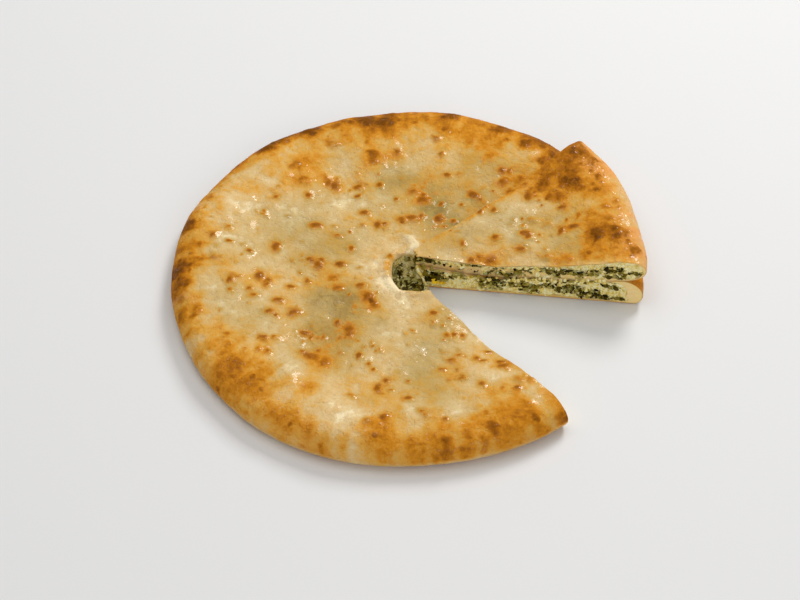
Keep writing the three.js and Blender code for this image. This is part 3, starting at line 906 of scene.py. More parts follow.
def cut_cap(shape, turn, out_s, out_z):
    """Points of the strip inside the outside of one cut, and the faces that close the cut. Numbers below
    the length of a section are the section's own points, and the strip's points follow them."""
    slope_s = np.gradient(out_s)
    slope_z = np.gradient(out_z)
    length = np.hypot(slope_s, slope_z) + 1e-9
    inset = CUT_CRUST + RIM_CRUST * step(14, 3, out_s.max() - out_s)
    s = out_s + inset * slope_z / length
    z = out_z - inset * slope_s / length
    s[-1] = out_s[-1] + CUT_CRUST
    x, y = shape.at(turn, s)
    strip = np.stack([x, y, z], axis=-1)

    outer = np.arange(OUTER_ROWS)
    strip_row = SECTION + outer
    inner = OUTER_ROWS + 1 + INNER_ROWS - np.arange(INNER_ROWS + 1)
    quads = np.stack([outer, outer + 1, strip_row + 1, strip_row], axis=-1)
    fans = np.stack([strip_row, strip_row + 1, inner[outer // ROWS_PER_INNER_ROW]], axis=-1)
    turns = np.arange(1, INNER_ROWS + 1)
    steps = np.stack([SECTION + turns * ROWS_PER_INNER_ROW, inner[turns], inner[turns - 1]], axis=-1)
    foot = np.array([[OUTER_ROWS, inner[-1], SECTION + OUTER_ROWS]])
    lip = np.hstack([inner[0], np.arange(SECTION - LIP_ROWS, SECTION), 0])
    lips = np.stack([np.full(LIP_ROWS + 1, SECTION), lip[:-1], lip[1:]], axis=-1)
    share = CUT_PALE * rim_share(shape, out_s.max() - s) - CUT_PALE_LESS
    return strip, quads, np.vstack([fans, steps, foot, lips]), share


def crag(along, height, seed, depth):
    """Relief of a cut through the filling: lumps and grains, set back a little from the cut."""
    lumps = layered_noise(along, height * 1.3, cell=5.2, seed=seed)
    grains = lattice_noise(along, height, cell=1.3, seed=seed + 7)
    return depth * (lumps + 0.35 * grains - 0.35)


def filling_place(shape, depth, a, b, c):
    """Points of the filling at parameters from 0 to 1: a turns from the first cut to the last, b runs from
    the point to the edge, and c rises. The edge is rounded, and both cuts and the hollow carry relief."""
    turn = np.radians(shape.first + (shape.last - shape.first) * a)
    rise = np.sin((c - 0.5) * math.pi)
    bulge = 1 - np.cos((c - 0.5) * math.pi)
    inner_edge = np.where(c > 0.5, shape.inner_edge, shape.inner_under)
    far = shape.reach(turn) - shape.rim_dough - FILLING_GAP - inner_edge * bulge
    near = shape.hollow(turn, (rise + 1) / 2)
    lumpy = layered_noise(turn * 14, rise * 7, cell=3.2, seed=shape.seed + 3)
    near = near + np.where((b == 0) & (near > 2), 0.9 * lumpy, 0)
    s = near + (far - near) * b
    x, y = shape.at(turn, s)
    z = hollow_height(shape, turn, s, rise) - FILLING_GAP * rise
    first = np.where(a == 0, -crag(s, z, shape.seed, depth), 0)
    last = np.where(a == 1, crag(s, z, shape.seed + LAST_CUT_SEED, depth), 0)
    shift = (first + last) * step(1, 8, s)
    return np.stack([x - shift * np.sin(turn), y + shift * np.cos(turn), z], axis=-1)


def filling_surface(place, counts):
    """Six grids that bound a box of three parameters, put in place and joined where they meet."""
    points = []
    quads = []
    params = []
    start = 0
    for axis in range(3):
        u_axis, v_axis = [k for k in range(3) if k != axis]
        steps = [np.linspace(0, 1, counts[k] + 1) for k in (u_axis, v_axis)]
        u, v = np.meshgrid(*steps, indexing="ij")
        for side in (0.0, 1.0):
            grid = [None, None, None]
            grid[axis] = np.full(u.size, side)
            grid[u_axis] = u.ravel()
            grid[v_axis] = v.ravel()
            points.append(place(*grid))
            params.append(np.stack(grid, axis=-1))
            quads.append(grid_quads(counts[u_axis], counts[v_axis], start))
            start += u.size
    return np.vstack(points), np.vstack(quads), np.vstack(params)


def heap_top(x, y):
    """Height of the low heap of filling on the floor of the steam hole, a lumpy dome."""
    out = np.hypot((x - HEAP_CENTRE[0]) / HEAP_HALVES[0], (y - HEAP_CENTRE[1]) / HEAP_HALVES[1])
    lumps = 0.9 * layered_noise(x, y, cell=3.4, seed=121)
    return (HEAP_HEIGHT + lumps) * np.clip(1 - out**3, 0, 1) ** 0.6


def heap_surface():
    """The heap as a closed surface: rings out over its top and back along a flat underside."""
    out = np.linspace(0, 1, HEAP_RINGS + 1)[:, None]
    angle = np.linspace(0, 2 * math.pi, HEAP_SIDES + 1)[None, :]
    x = HEAP_CENTRE[0] + HEAP_HALVES[0] * out * np.cos(angle)
    y = HEAP_CENTRE[1] + HEAP_HALVES[1] * out * np.sin(angle)
    top = np.stack([x, y, HEAP_FLOOR + heap_top(x, y)], axis=-1)
    under = np.stack([x, y, np.full_like(x, HEAP_FLOOR)], axis=-1)
    points = np.concatenate([top, under[::-1]]).reshape(-1, 3)
    return points, grid_quads(2 * HEAP_RINGS + 1, HEAP_SIDES)


def clump_field(clumps, along, height):
    """How deep inside a clump of greens a place on a cut is, from 0 to 1."""
    field = np.zeros_like(along)
    for middle, level, half_length, half_height in clumps:
        away = np.hypot((along - middle) / half_length, (height - level) / half_height)
        field = np.maximum(field, np.clip(1.25 - 0.75 * away, 0, 1))
    return field


def leaf_shreds(centre, along, out, length, width, lift, bow, twist):
    """Thin shreds of leaf: a flat diamond carried along a bowed path, narrow at both ends. The arrays give
    one row for each shred, and lift and bow are how far its middle stands out and its ends bend aside."""
    stations = 6
    t = np.linspace(-1, 1, stations)[None, :, None]
    side = np.cross(out, along)
    along, out, side = along[:, None, :], out[:, None, :], side[:, None, :]
    length, width, lift, bow, twist = (v[:, None, None] for v in (length, width, lift, bow, twist))
    path = centre[:, None, :] + along * length / 2 * t + side * bow * t * t + out * lift * (1 - 1.6 * t * t)
    half = width / 2 * (1 - 0.82 * np.abs(t) ** 2.4)
    across = side * np.cos(twist * t + 0.4 * twist) + out * np.sin(twist * t + 0.4 * twist)
    normal = out * np.cos(twist * t + 0.4 * twist) - side * np.sin(twist * t + 0.4 * twist)
    thick = 0.18 + 0.1 * (1 - np.abs(t))
    corners = [path + across * half, path + normal * thick, path - across * half, path - normal * thick]
    points = np.stack(corners, axis=2)
    last = 4 * (stations - 1)
    ends = [[3, 2, 1, 0], [last, last + 1, last + 2, last + 3]]
    faces = np.vstack([ring_quads(stations - 1, 4), ends])
    return repeat_faces(points.reshape(len(points), -1, 3), faces)


def curd_lumps(centre, size, draw):
    """Small uneven lumps: a globe of rings, squashed and dented differently for each lump."""
    rings, sides = 5, 8
    latitude = np.linspace(0, math.pi, rings + 2)[1:-1, None]
    longitude = np.arange(sides)[None, :] * 2 * math.pi / sides
    out = np.sin(latitude)
    up = np.cos(latitude) + 0 * longitude
    around = np.stack([out * np.cos(longitude), out * np.sin(longitude), up], axis=-1).reshape(-1, 3)
    globe = np.vstack([around, [[0, 0, 1], [0, 0, -1]]])
    dents = 1 + draw.uniform(-0.2, 0.2, (len(centre), len(globe), 1))
    squash = draw.uniform(0.65, 1.2, (len(centre), 1, 3))
    points = centre[:, None, :] + globe[None] * dents * squash * size[:, None, None]
    column = np.arange(sides)
    follow = (column + 1) % sides
    walls = ring_quads(rings - 1, sides)[:, [0, 3, 2, 1]]
    low = (rings - 1) * sides
    top = np.stack([np.full(sides, rings * sides), column, follow], axis=-1)
    bottom = np.stack([np.full(sides, rings * sides + 1), low + follow, low + column], axis=-1)
    flat_points, quads = repeat_faces(points, walls)
    triangles = repeat_faces(points, np.vstack([top, bottom]))[1]
    return flat_points, quads.tolist() + triangles.tolist()


def strand_surface():
    """A strand of cheese: a circle carried along a slightly bent line. Its radius swells at both ends,
    wavers along the way and closes to a point at each end."""
    start, end = np.array(STRAND_START), np.array(STRAND_END)
    t = np.linspace(0, 1, STRAND_ROWS + 1)[:, None, None]
    angle = np.linspace(0, 2 * math.pi, STRAND_SIDES + 1)[None, :, None]
    line = unit(end - start)
    aside = unit(np.cross(line, [0.0, 0.0, 1.0]))
    upper = np.cross(aside, line)
    waver = layered_noise(t * 17, angle * 2, cell=2.3, seed=131)
    radius = (0.9 + 0.7 * (2 * t - 1) ** 2 + 0.5 * waver) * np.sqrt(np.clip(1 - (2 * t - 1) ** 8, 0, 1))
    path = start + (end - start) * t + aside * (0.8 * np.sin(np.pi * t) + 0.5 * np.sin(3 * np.pi * t))
    points = path + radius * (aside * np.cos(angle) + upper * np.sin(angle))
    return points.reshape(-1, 3), grid_quads(STRAND_ROWS, STRAND_SIDES)


def repeat_faces(points, faces):
    """One mesh from many copies of a shape that share the same faces."""
    copies, size = points.shape[:2]
    shifted = faces[None] + (np.arange(copies) * size)[:, None, None]
    return points.reshape(-1, 3), shifted.reshape(-1, faces.shape[1])


class Wire:
    """A shader socket that can stand in sums and products. Each operation on it adds a Math node."""

    def __init__(self, shader, socket):
        self.shader = shader
        self.socket = socket

    def math(self, operation, first, second):
        return self.shader.node("ShaderNodeMath", {"operation": operation}, {0: first, 1: second})

    def __add__(self, other):
        return self.math("ADD", self, other)

    def __sub__(self, other):
        return self.math("SUBTRACT", self, other)

    def __rsub__(self, other):
        return self.math("SUBTRACT", other, self)

    def __mul__(self, other):
        return self.math("MULTIPLY", self, other)

    __radd__ = __add__
    __rmul__ = __mul__

    def above(self, low, high, curve="SMOOTHSTEP"):
        """A rise from 0 at low to 1 at high, smooth unless another curve is named."""
        settings = {"interpolation_type": curve, "clamp": True}
        return self.shader.node("ShaderNodeMapRange", settings, {0: self, 1: low, 2: high})

    def limited(self):
        """The value kept between 0 and 1."""
        return self.above(0.0, 1.0, "LINEAR")


class Shader:
    """A material made of nodes, with one Principled surface."""

    def __init__(self, name):
        self.material = bpy.data.materials.new(name)
        self.material.use_nodes = True
        self.tree = self.material.node_tree
        self.tree.nodes.clear()

    def node(self, kind, settings, inputs, output=0):
        """Any node: its type, its settings, which are set first, its inputs, and the output to use."""
        made = self.tree.nodes.new(kind)
        for key, value in settings.items():
            if key == "stops":
                self.set_stops(made.color_ramp, value)
            else:
                setattr(made, key, value)
        for key, value in inputs.items():
            if isinstance(value, Wire):
                self.tree.links.new(value.socket, made.inputs[key])
            else:
                made.inputs[key].default_value = value
        return Wire(self, made.outputs[output]) if made.outputs else None

    def set_stops(self, ramp, stops):
        while len(ramp.elements) < len(stops):
            ramp.elements.new(1.0)
        for element, (place, colour) in zip(ramp.elements, stops):
            element.position = place
            element.color = (*colour, 1.0)

    def place(self):
        """Object coordinates."""
        return self.node("ShaderNodeTexCoord", {}, {}, "Object")

    def attribute(self, name):
        """A value stored on the mesh's points."""
        return self.node("ShaderNodeAttribute", {"attribute_name": name}, {}, "Fac")

    def scaled(self, place, x, y, z):
        """Coordinates stretched by three factors."""
        inputs = {"Vector": place, "Scale": (x, y, z)}
        return self.node("ShaderNodeMapping", {"vector_type": "POINT"}, inputs)

    def noise(self, place, scale, detail=3.0, rough=0.55, twist=0.0):
        """Cloudy noise from 0 to 1."""
        inputs = {
            "Vector": place,
            "Scale": scale,
            "Detail": detail,
            "Roughness": rough,
            "Distortion": twist,
        }
        return self.node("ShaderNodeTexNoise", {"noise_dimensions": "3D"}, inputs)

    def cells(self, place, scale):
        """Distance to the nearest of scattered points, in cells."""
        inputs = {"Vector": place, "Scale": scale}
        return self.node("ShaderNodeTexVoronoi", {"feature": "F1"}, inputs, "Distance")

    def ramp(self, value, stops):
        """Colours along a value from 0 to 1."""
        return self.node("ShaderNodeValToRGB", {"stops": stops}, {"Fac": value}, "Color")

    def mix(self, first, second, amount):
        """Blend of two colours."""
        first = first if isinstance(first, Wire) else (*first, 1.0)
        second = second if isinstance(second, Wire) else (*second, 1.0)
        return self.node("ShaderNodeMix", {"data_type": "RGBA"}, {0: amount, 6: first, 7: second}, 2)

    def bump(self, height, distance, strength):
        """A normal bent by a height from 0 to 1 over a distance in metres."""
        inputs = {"Strength": strength, "Distance": distance, "Height": height}
        return self.node("ShaderNodeBump", {}, inputs)

    def finish(self, inputs):
        """Links a Principled surface to the output and returns the material."""
        surface = self.node("ShaderNodeBsdfPrincipled", {}, inputs)
        self.node("ShaderNodeOutputMaterial", {}, {"Surface": surface})
        return self.material


def screen(red, green, blue):
    """A colour given as on a screen, from 0 to 255, as linear light."""
    parts = (red / 255, green / 255, blue / 255)
    return tuple(p / 12.92 if p <= 0.04045 else ((p + 0.055) / 1.055) ** 2.4 for p in parts)


def crust_material(settings):
    """Baked dough: browning, blisters, greens that show through, and a broken film of butter. Its colours
    also
    hold painted light and shade: highlights on pale places, a glow on lit edges and shade beside the slice.
    """
    shader = Shader("baked_crust")
    place = shader.place()
    toast = shader.attribute("toast")
    blister = shader.attribute("blister")
    below = shader.attribute("greens_below")
    crumb = shader.attribute("crumb")
    blush = shader.attribute("blush")
    broad = shader.noise(place, 20.0, 2.0)
    patch = shader.noise(place, 62.0, 2.0, 0.5, 0.5)
    mottle = shader.noise(place, 210.0, 3.0, 0.5, 0.4)
    grain = shader.noise(place, 620.0, 3.0, 0.6)
    speck = shader.noise(place, 1500.0, 2.0, 0.6)
    spread = shader.noise(place, 90.0, 3.0, 0.6, 0.6)
    freckle = shader.cells(place, 125.0)
    bubble = shader.cells(place, 430.0)

    spot = blister + (mottle - 0.5) * 0.26 * blister.above(0.0, 0.3)
    halo = spot.above(0.12, 0.55)
    core = spot.above(0.38, 0.78)
    freckles = (0.34 - freckle).above(0.0, 0.26) * patch.above(0.44, 0.6)
    fine = (mottle - 0.5) * 0.7 + (grain - 0.5) * 0.4 + (speck - 0.5) * 0.15
    heat = toast + (patch - 0.5) * 0.56 + fine * 0.6 + halo * 0.17 + freckles * 0.16
    heat = (heat + core * (spot * 0.3 + 0.65 - heat).limited() * 0.95).limited()
    # The palest stop also serves as painted highlight, where the pale places on the pie mark the fold, the
    # lip and the bulges
    browned = shader.ramp(
        heat,
        (
            (0.0, settings.milk_and_highlight),
            (0.12, settings.cream),
            (0.3, settings.straw),
            (0.46, settings.golden),
            (0.64, settings.toasted),
            (0.82, settings.brown),
            (1.0, settings.scorched),
        ),
    )
    # Grey-green cast and dark leaf where greens lie close under the thin dough; beside the slice's far edge
    # the same marks are painted shade
    cool = (broad.above(0.42, 0.62) * 0.2 + below * 0.6) * (1 - heat.above(0.42, 0.7))
    cool = (cool + halo * (1 - core) * (1 - toast.above(0.4, 0.55)) * 0.28).limited()
    leafy = shader.noise(place, 110.0, 3.0, 0.6, 0.5).above(0.3, 0.7)
    dark = below.above(0.4, 1.5) * leafy * (1 - heat.above(0.5, 0.8)) * 0.5
    # Painted light: a pink-orange glow on the lighter outer strip of an edge, as on a lit edge
    dough = shader.mix(browned, settings.lit_edge_colour, blush * (1 - heat.above(0.6, 0.85)) * 0.85)
    dough = shader.mix(dough, settings.thin, cool)
    dough = shader.mix(dough, settings.greens_below, dark)
    cut = shader.mix(dough, settings.soaked, crumb.above(0.0, 0.5))
    colour = shader.mix(cut, settings.crumb, crumb.above(0.5, 1.0) * (grain * 1.7 - 0.1).limited())

    butter = spread.above(0.42, 0.62)
    wet = (butter * 0.7 + halo * 0.3) * (1 - core * 0.8) * (1 - toast.above(0.4, 0.62) * 0.93)
    domes = (0.46 - bubble).above(0.0, 0.46) * (0.2 + butter * 0.8)
    glints = (0.36 - bubble).above(0.0, 0.14) * mottle.above(0.44, 0.52)
    glints = glints * (1 - toast.above(0.45, 0.65) * 0.5)
    height = patch * 1.4 + mottle * 1.3 + grain * 0.3 + speck * 0.15 + domes * 0.3 + freckles * 0.3
    return shader.finish(
        {
            "Base Color": colour,
            "Roughness": 0.6 - wet * 0.12 + crumb * 0.12,
            "Specular IOR Level": 0.02,
            "Coat Weight": (wet * 0.6 + glints).limited() * (1 - crumb * 0.9),
            "Coat Roughness": 0.16,
            "Subsurface Weight": 0.08,
            "Subsurface Radius": (0.0045, 0.0022, 0.0009),
            "Subsurface Scale": 1.0,
            "Normal": shader.bump(height, 0.0012, 0.9),
        }
    )


def filling_material(settings):
    """Curd cheese with chopped greens through it: pale crumbs, green stains and dark flecks of leaf. The
    curd has painted shade and painted light in random places, and the palest leaf is partly painted sheen.
    """
    shader = Shader("cheese_and_greens")
    place = shader.place()
    flat = shader.scaled(place, 1.0, 1.0, 1.5)
    herb = shader.attribute("herb")
    leaf = shader.noise(flat, 210.0, 4.0, 0.62, 1.2)
    small = shader.noise(flat, 760.0, 3.0, 0.6, 0.6)
    tone = shader.noise(place, 400.0, 3.0, 0.6) * 0.55 + shader.noise(place, 1150.0, 2.0, 0.6) * 0.45
    share = leaf + herb * 0.36 - 0.17 + (small - 0.5) * 0.4
    stain = share.above(0.47, 0.6)
    dark = share.above(0.6, 0.64)
    crumbs = shader.cells(place, 460.0)
    # Painted shade and painted light: the curd darker and lighter in random places, as if shaded and lit
    curd = shader.ramp(tone, ((0.3, settings.shaded_curd), (0.44, settings.curd), (0.58, settings.dry_and_lit_curd)))
    stained = shader.mix(curd, settings.stain, stain * 0.75)
    blade = shader.noise(flat, 340.0, 3.0, 0.65, 0.9)
    # The palest leaf colour is partly painted sheen
    leaves = shader.ramp(
        blade,
        (
            (0.38, settings.leaf_dark),
            (0.5, settings.leaf),
            (0.6, settings.leaf_light),
            (0.72, settings.sage_and_sheen),
        ),
    )
    colour = shader.mix(stained, leaves, dark)
    height = (0.6 - crumbs) * 0.5 + leaf * 0.6 + small * 0.3
    return shader.finish(
        {
            "Base Color": colour,
            "Roughness": 0.55 - dark * 0.15,
            "Specular IOR Level": 0.03,
            "Coat Weight": small.above(0.52, 0.66) * 0.6,
            "Coat Roughness": 0.16,
            "Subsurface Weight": 0.1,
            "Subsurface Radius": (0.002, 0.0018, 0.0009),
            "Subsurface Scale": 1.0,
            "Normal": shader.bump(height, 0.0016, 0.9),
        }
    )


def leaf_material(settings):
    """Cooked leaf: each shred has its own green, with fine veins and a moist shine. The palest green is
    partly a painted sheen.
    """
    shader = Shader("cooked_leaf")
    place = shader.place()
    tint = shader.attribute("tint")
    vein = shader.noise(place, 900.0, 3.0, 0.6, 1.2)
    tone = (tint + (vein - 0.5) * 0.35).limited()
    # The palest leaf colour is partly painted sheen
    colour = shader.ramp(
        tone,
        (
            (0.0, settings.leaf_dark),
            (0.3, settings.leaf),
            (0.52, settings.leaf_light),
            (0.72, settings.sage_and_sheen),
            (0.86, settings.stain),
            (0.97, settings.yellow),
        ),
    )
    return shader.finish(
        {
            "Base Color": colour,
            "Roughness": 0.55 - vein * 0.2,
            "Specular IOR Level": 0.03,
            "Coat Weight": vein.above(0.54, 0.64) * 0.6,
            "Coat Roughness": 0.14,
            "Normal": shader.bump(vein, 0.0005, 0.7),
        }
    )


def curd_material(settings):
    """Crumbs of curd cheese, pale and slightly moist, with painted shade and painted light in random
    places.
    """
    shader = Shader("curd_crumb")
    place = shader.place()
    tone = shader.noise(place, 420.0, 3.0)
    grain = shader.noise(place, 1500.0, 2.0)
    # Painted shade and painted light: the curd darker and lighter in random places, as if shaded and lit
    colour = shader.ramp(tone, ((0.3, settings.shaded_curd), (0.48, settings.curd), (0.66, settings.dry_and_lit_curd)))
    return shader.finish(
        {
            "Base Color": colour,
            "Roughness": 0.5 + grain * 0.15,
            "Specular IOR Level": 0.06,
            "Coat Weight": tone.above(0.5, 0.62) * 0.4,
            "Coat Roughness": 0.25,
            "Subsurface Weight": 0.15,
            "Subsurface Radius": (0.002, 0.0018, 0.0009),
            "Subsurface Scale": 1.0,
            "Normal": shader.bump(grain, 0.0004, 0.6),
        }
    )


def floor_material(settings):
    """A plain pale floor with a trace of unevenness in its shine."""
    shader = Shader("pale_floor")
    cloud = shader.noise(shader.place(), 6.0, 2.0)
    return shader.finish({"Base Color": (*settings.floor_colour, 1.0), "Roughness": 0.7 + cloud * 0.1})


def make_piece(name, points, faces, values, material, node):
    """Makes a mesh, joins its seams, turns its faces outwards and hangs it on the frame."""
    mesh = bpy.data.meshes.new(name)
    mesh.from_pydata((points * MM).tolist(), [], faces)
    for key, numbers in values.items():
        store = mesh.attributes.new(key, "FLOAT", "POINT")
        store.data.foreach_set("value", np.ascontiguousarray(numbers, dtype=np.float32))
    build = bmesh.new()
    build.from_mesh(mesh)
    bmesh.ops.remove_doubles(build, verts=build.verts, dist=JOIN_DISTANCE)
    bmesh.ops.recalc_face_normals(build, faces=build.faces)
    build.to_mesh(mesh)
    build.free()
    mesh.shade_smooth()
    mesh.set_sharp_from_angle(angle=math.radians(SHARP_ANGLE))
    mesh.materials.append(material)
    piece = bpy.data.objects.new(name, mesh)
    bpy.context.scene.collection.objects.link(piece)
    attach(piece, "root")
    if node:
        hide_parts(node)


def edge_browning(shape, angle, inset):
    """Browning of the edge: a band whose width and strength change with the angle, and a strip at the
    outline. Where the strip is lighter than the band it also gets painted light, a pink-orange glow of a
    lit edge."""
    degrees, *columns = np.array(shape.rim_brown).T
    wide, strong, strip = (np.interp(angle, degrees, column) for column in columns)
    inside = np.maximum(inset, 0)
    toast = strong * np.exp(-((inside / wide) ** 3)) + strip * bell(inside / shape.strip)
    # The second value is painted light, a pink-orange glow where the strip is lighter than the band
    return toast, np.clip(-8 * strip - 0.9, 0, 1) * bell(inside / 12)


def crust_values(shape, points, crumb):
    """Browning, blisters, greens that show through, and painted light and shade at each point of a crust.
    """
    x, y, z = points.T
    height = z - shape.base(x, y)
    angle = np.degrees(np.arctan2(y - shape.centre[1], x - shape.centre[0]))
    if shape.last > 180:
        angle = angle % 360
    inset = shape.outline(x, y)
    ragged = RAGGED_BAND * layered_noise(x, y, cell=16, seed=91)
    toast, blush = edge_browning(shape, angle, inset + ragged * step(2, 14, inset))
    islands = layered_noise(x, y, cell=16, seed=111) * step(0.12, 0.4, toast)
    streaks = rim_streaks(shape.centre, x, y)
    warm = [(*spot, 2.6 * radius, CROWD_BROWN * dark) for *spot, radius, dark in shape.blisters]
    crowd = np.minimum(hump_sum(warm, x, y), CROWD_LIMIT)
    toast = shape.toast + toast + STREAK_BROWN * streaks + hump_sum(shape.patches, x, y)
    toast = toast + crowd + ISLAND_BROWN * islands
    toast = toast + BROAD_BROWN * layered_noise(x, y, cell=26, seed=97)
    start, room, width = SOFT_LIMIT
    toast = np.where(toast > start, start + room * np.tanh((toast - start) / width), toast)
    # Pale places: stretched dough, and on the pie also painted highlight and sheen on the fold, the lip and
    # the bulges
    toast = toast - PALE_LESS * np.clip(hump_sum(shape.pale, x, y), 0, 1.5)
    side = step(2.5, 9, height)
    under = shape.under_toast * (1 + 0.7 * layered_noise(x, y, cell=22, seed=101))
    low = step(0.5, 2.8, height)
    toast = toast * side + (1 - side) * (low * SIDE_BROWN + (1 - low) * under)
    upper = step(5, 9, height)
    return {
        "toast": toast * (1 - 0.85 * crumb),
        "blister": blister_relief(shape.blisters, 1, x, y)[1] * upper * (1 - crumb),
        # Greens under the dough, and on the pie painted shade beside the slice's far edge
        "greens_below": np.clip(hump_sum(shape.shadows, x, y), 0, 1.3) * upper,
        "crumb": crumb,
        # Painted light: the glow of a lit outer edge, broken up by the streaks
        "blush": blush * np.clip(0.75 + 0.9 * streaks, 0, 1) * upper,
    }


def length_property(name, description, default, low=0.0):
    """A length in metres for the panel."""
    return bpy.props.FloatProperty(
        name=name, description=description, default=default, min=low, unit="LENGTH"
    )


def power_property(name, description, default):
    """The power of a light for the panel."""
    return bpy.props.FloatProperty(
        name=name, description=description, default=default, min=0.0, unit="POWER"
    )


def count_property(name, description, default):
    """A number of things for the panel."""
    return bpy.props.IntProperty(name=name, description=description, default=default, min=0)


def colour_property(name, description, *parts):
    """A colour for the panel, given by its three parts on a screen."""
    return bpy.props.FloatVectorProperty(
        name=name, description=description, default=screen(*parts), subtype="COLOR"
    )


class CrustSettings(bpy.types.PropertyGroup):
    """Sizes and colours of the dough."""

    skin: length_property("Skin", "Thickness of the dough over the filling", 0.0009, 0.0007)
    lip_roll: length_property("Lip", "Rise of the lip round the steam hole", 0.0016)
    fold_height: length_property("Fold", "Height of the fold of dough beside the hole", 0.0024)
    blister_height: length_property("Blisters", "Height of the larger blisters", 0.0012)
    # Palest dough, also painted highlight on the fold beside the hole and on the bulges
    milk_and_highlight: colour_property("Milk", "Palest stretched dough", 250, 229, 184)
    cream: colour_property("Cream", "Dough with no browning", 228, 199, 146)
    straw: colour_property("Straw", "Lightly baked dough", 221, 182, 117)
    golden: colour_property("Golden", "Golden dough", 222, 165, 72)
    toasted: colour_property("Toasted", "Orange-brown dough", 208, 136, 33)
    brown: colour_property("Brown", "Well browned dough", 168, 102, 20)
    scorched: colour_property("Scorched", "Darkest tops of blisters", 120, 70, 12)
    crumb: colour_property("Crumb", "Cut dough", 252, 220, 158)
    soaked: colour_property("Soaked", "Cut edge of the thin dough", 244, 214, 138)
    # Painted light: the glow of a lit outer edge
    lit_edge_colour: colour_property("Rosy", "Light outer edge", 236, 168, 104)
    thin: colour_property("Thin", "Thin dough with a grey-green cast", 176, 149, 82)
    # Dark leaf under the dough, also painted shade beside the slice's far edge
    greens_below: colour_property("Greens below", "Dark leaf close under the dough", 112, 86, 44)


class FillingSettings(bpy.types.PropertyGroup):
    """Sizes, amounts and colours of the filling."""

    crag: length_property("Crags", "Depth of the relief on a cut", 0.0017)
    leaf_length: length_property("Leaf", "Length of the longest shreds of leaf", 0.0066)
    curd_size: length_property("Curds", "Radius of the largest crumbs of curd", 0.0021)
    shreds: count_property("Shreds", "Shreds of leaf on each cut that faces the viewer", 300)
    curds: count_property("Crumbs", "Crumbs of curd on each cut that faces the viewer", 80)
    # Painted shade: the curd darker, as in its shaded hollows
    shaded_curd: colour_property("Whey", "Moist hollows of the curd", 200, 176, 86)
    curd: colour_property("Curd", "Curd cheese", 247, 221, 124)
    # Partly paler dry curd, partly painted light on the lit tops
    dry_and_lit_curd: colour_property("Light curd", "Dry tops of the curd", 255, 252, 208)
    stain: colour_property("Stain", "Curd stained by the greens", 170, 147, 36)
    leaf_dark: colour_property("Dark leaf", "Darkest leaf", 40, 31, 2)
    leaf: colour_property("Leaf", "Cooked leaf", 80, 68, 9)
    leaf_light: colour_property("Light leaf", "Stalks and light leaf", 146, 128, 38)
    # Pale grey-green leaf, partly painted sheen on the leaves
    sage_and_sheen: colour_property("Sage leaf", "Pale undersides of leaves", 180, 176, 112)
    yellow: colour_property("Yellow leaf", "A yellow bit among the greens", 255, 214, 48)


class StageSettings(bpy.types.PropertyGroup):
    """Floor, lights and camera."""

    elevation: bpy.props.FloatProperty(
        name="Elevation",
        description="Height of the view above the horizon",
        default=math.radians(46.56),
        subtype="ANGLE",
    )
    distance: length_property("Distance", "Distance of the camera from the pie", 1.6836)
    lens: bpy.props.FloatProperty(
        name="Lens", description="Focal length in millimetres", default=117.0, unit="CAMERA"
    )
    key_power: power_property("Key light", "Power of the soft box behind the pie", 23.0)
    top_power: power_property("Top light", "Power of the soft box overhead", 10.0)
    front_power: power_property("Front light", "Power of the soft box beside the camera", 9.0)
    sky: bpy.props.FloatProperty(
        name="Surround", description="Strength of the light from all round", default=0.34
    )
    floor_colour: colour_property("Floor", "Colour of the floor", 226, 226, 226)


def shared_material(name, maker, settings):
    """The material of that name, made the first time that it is asked for."""
    return bpy.data.materials.get(name) or maker(settings)


def make_crust(name, node, shape, settings):
    """A crust as a piece, with its browning."""
    points, quads, triangles, crumb = crust_surface(shape)
    values = crust_values(shape, points, crumb)
    material = shared_material("baked_crust", crust_material, settings)
    make_piece(name, points, quads.tolist() + triangles.tolist(), values, material, node)


def make_filling(name, node, shape, settings, counts):
    """A filling as a piece, with the share of greens at each point."""

    def place(a, b, c):
        return filling_place(shape, settings.crag / MM, a, b, c)

    points, quads, params = filling_surface(place, counts)
    x, y, z = points.T
    along = np.hypot(x - shape.apex[0], y - shape.apex[1])
    height = z - shape.base(x, y)
    first = clump_field(shape.clumps, along, height)
    last = clump_field(HIDDEN_CLUMPS, along, height)
    herb = np.where(params[:, 0] < 0.5, first, last)
    herb = np.maximum(herb, np.where(params[:, 1] == 0, 0.45, 0))
    material = shared_material("cheese_and_greens", filling_material, settings)
    make_piece(name, points, quads.tolist(), {"herb": herb}, material, node)


class PIE_OT_pie_crust(bpy.types.Operator):
    """Makes the crust of the pie"""

    bl_idname = "flat_pie.pie_crust"
    bl_label = "Pie crust"

    def execute(self, context):
        settings = context.scene.pie_crust
        make_crust("pie_crust_skin", "pie_crust", pie_round(settings), settings)
        return {"FINISHED"}


class PIE_OT_slice_crust(bpy.types.Operator):
    """Makes the crust of the slice that lies on the pie"""

    bl_idname = "flat_pie.slice_crust"
    bl_label = "Slice crust"

    def execute(self, context):
        settings = context.scene.pie_crust
        make_crust("slice_crust_skin", "slice_crust", slice_round(settings), settings)
        return {"FINISHED"}


class PIE_OT_fillings(bpy.types.Operator):
    """Makes the filling of the pie and the filling of the slice"""

    bl_idname = "flat_pie.fillings"
    bl_label = "Fillings"

    def execute(self, context):
        settings = context.scene.pie_filling
        pie = pie_round(context.scene.pie_crust)
        piece = slice_round(context.scene.pie_crust)
        make_filling("pie_filling_mix", "pie_filling", pie, settings, PIE_FILLING_FACES)
        points, quads = heap_surface()
        material = shared_material("cheese_and_greens", filling_material, settings)
        herb = np.full(len(points), 0.4)
        make_piece("hole_heap", points, quads.tolist(), {"herb": herb}, material, None)
        make_filling("slice_filling_mix", "slice_filling", piece, settings, SLICE_FILLING_FACES)
        return {"FINISHED"}


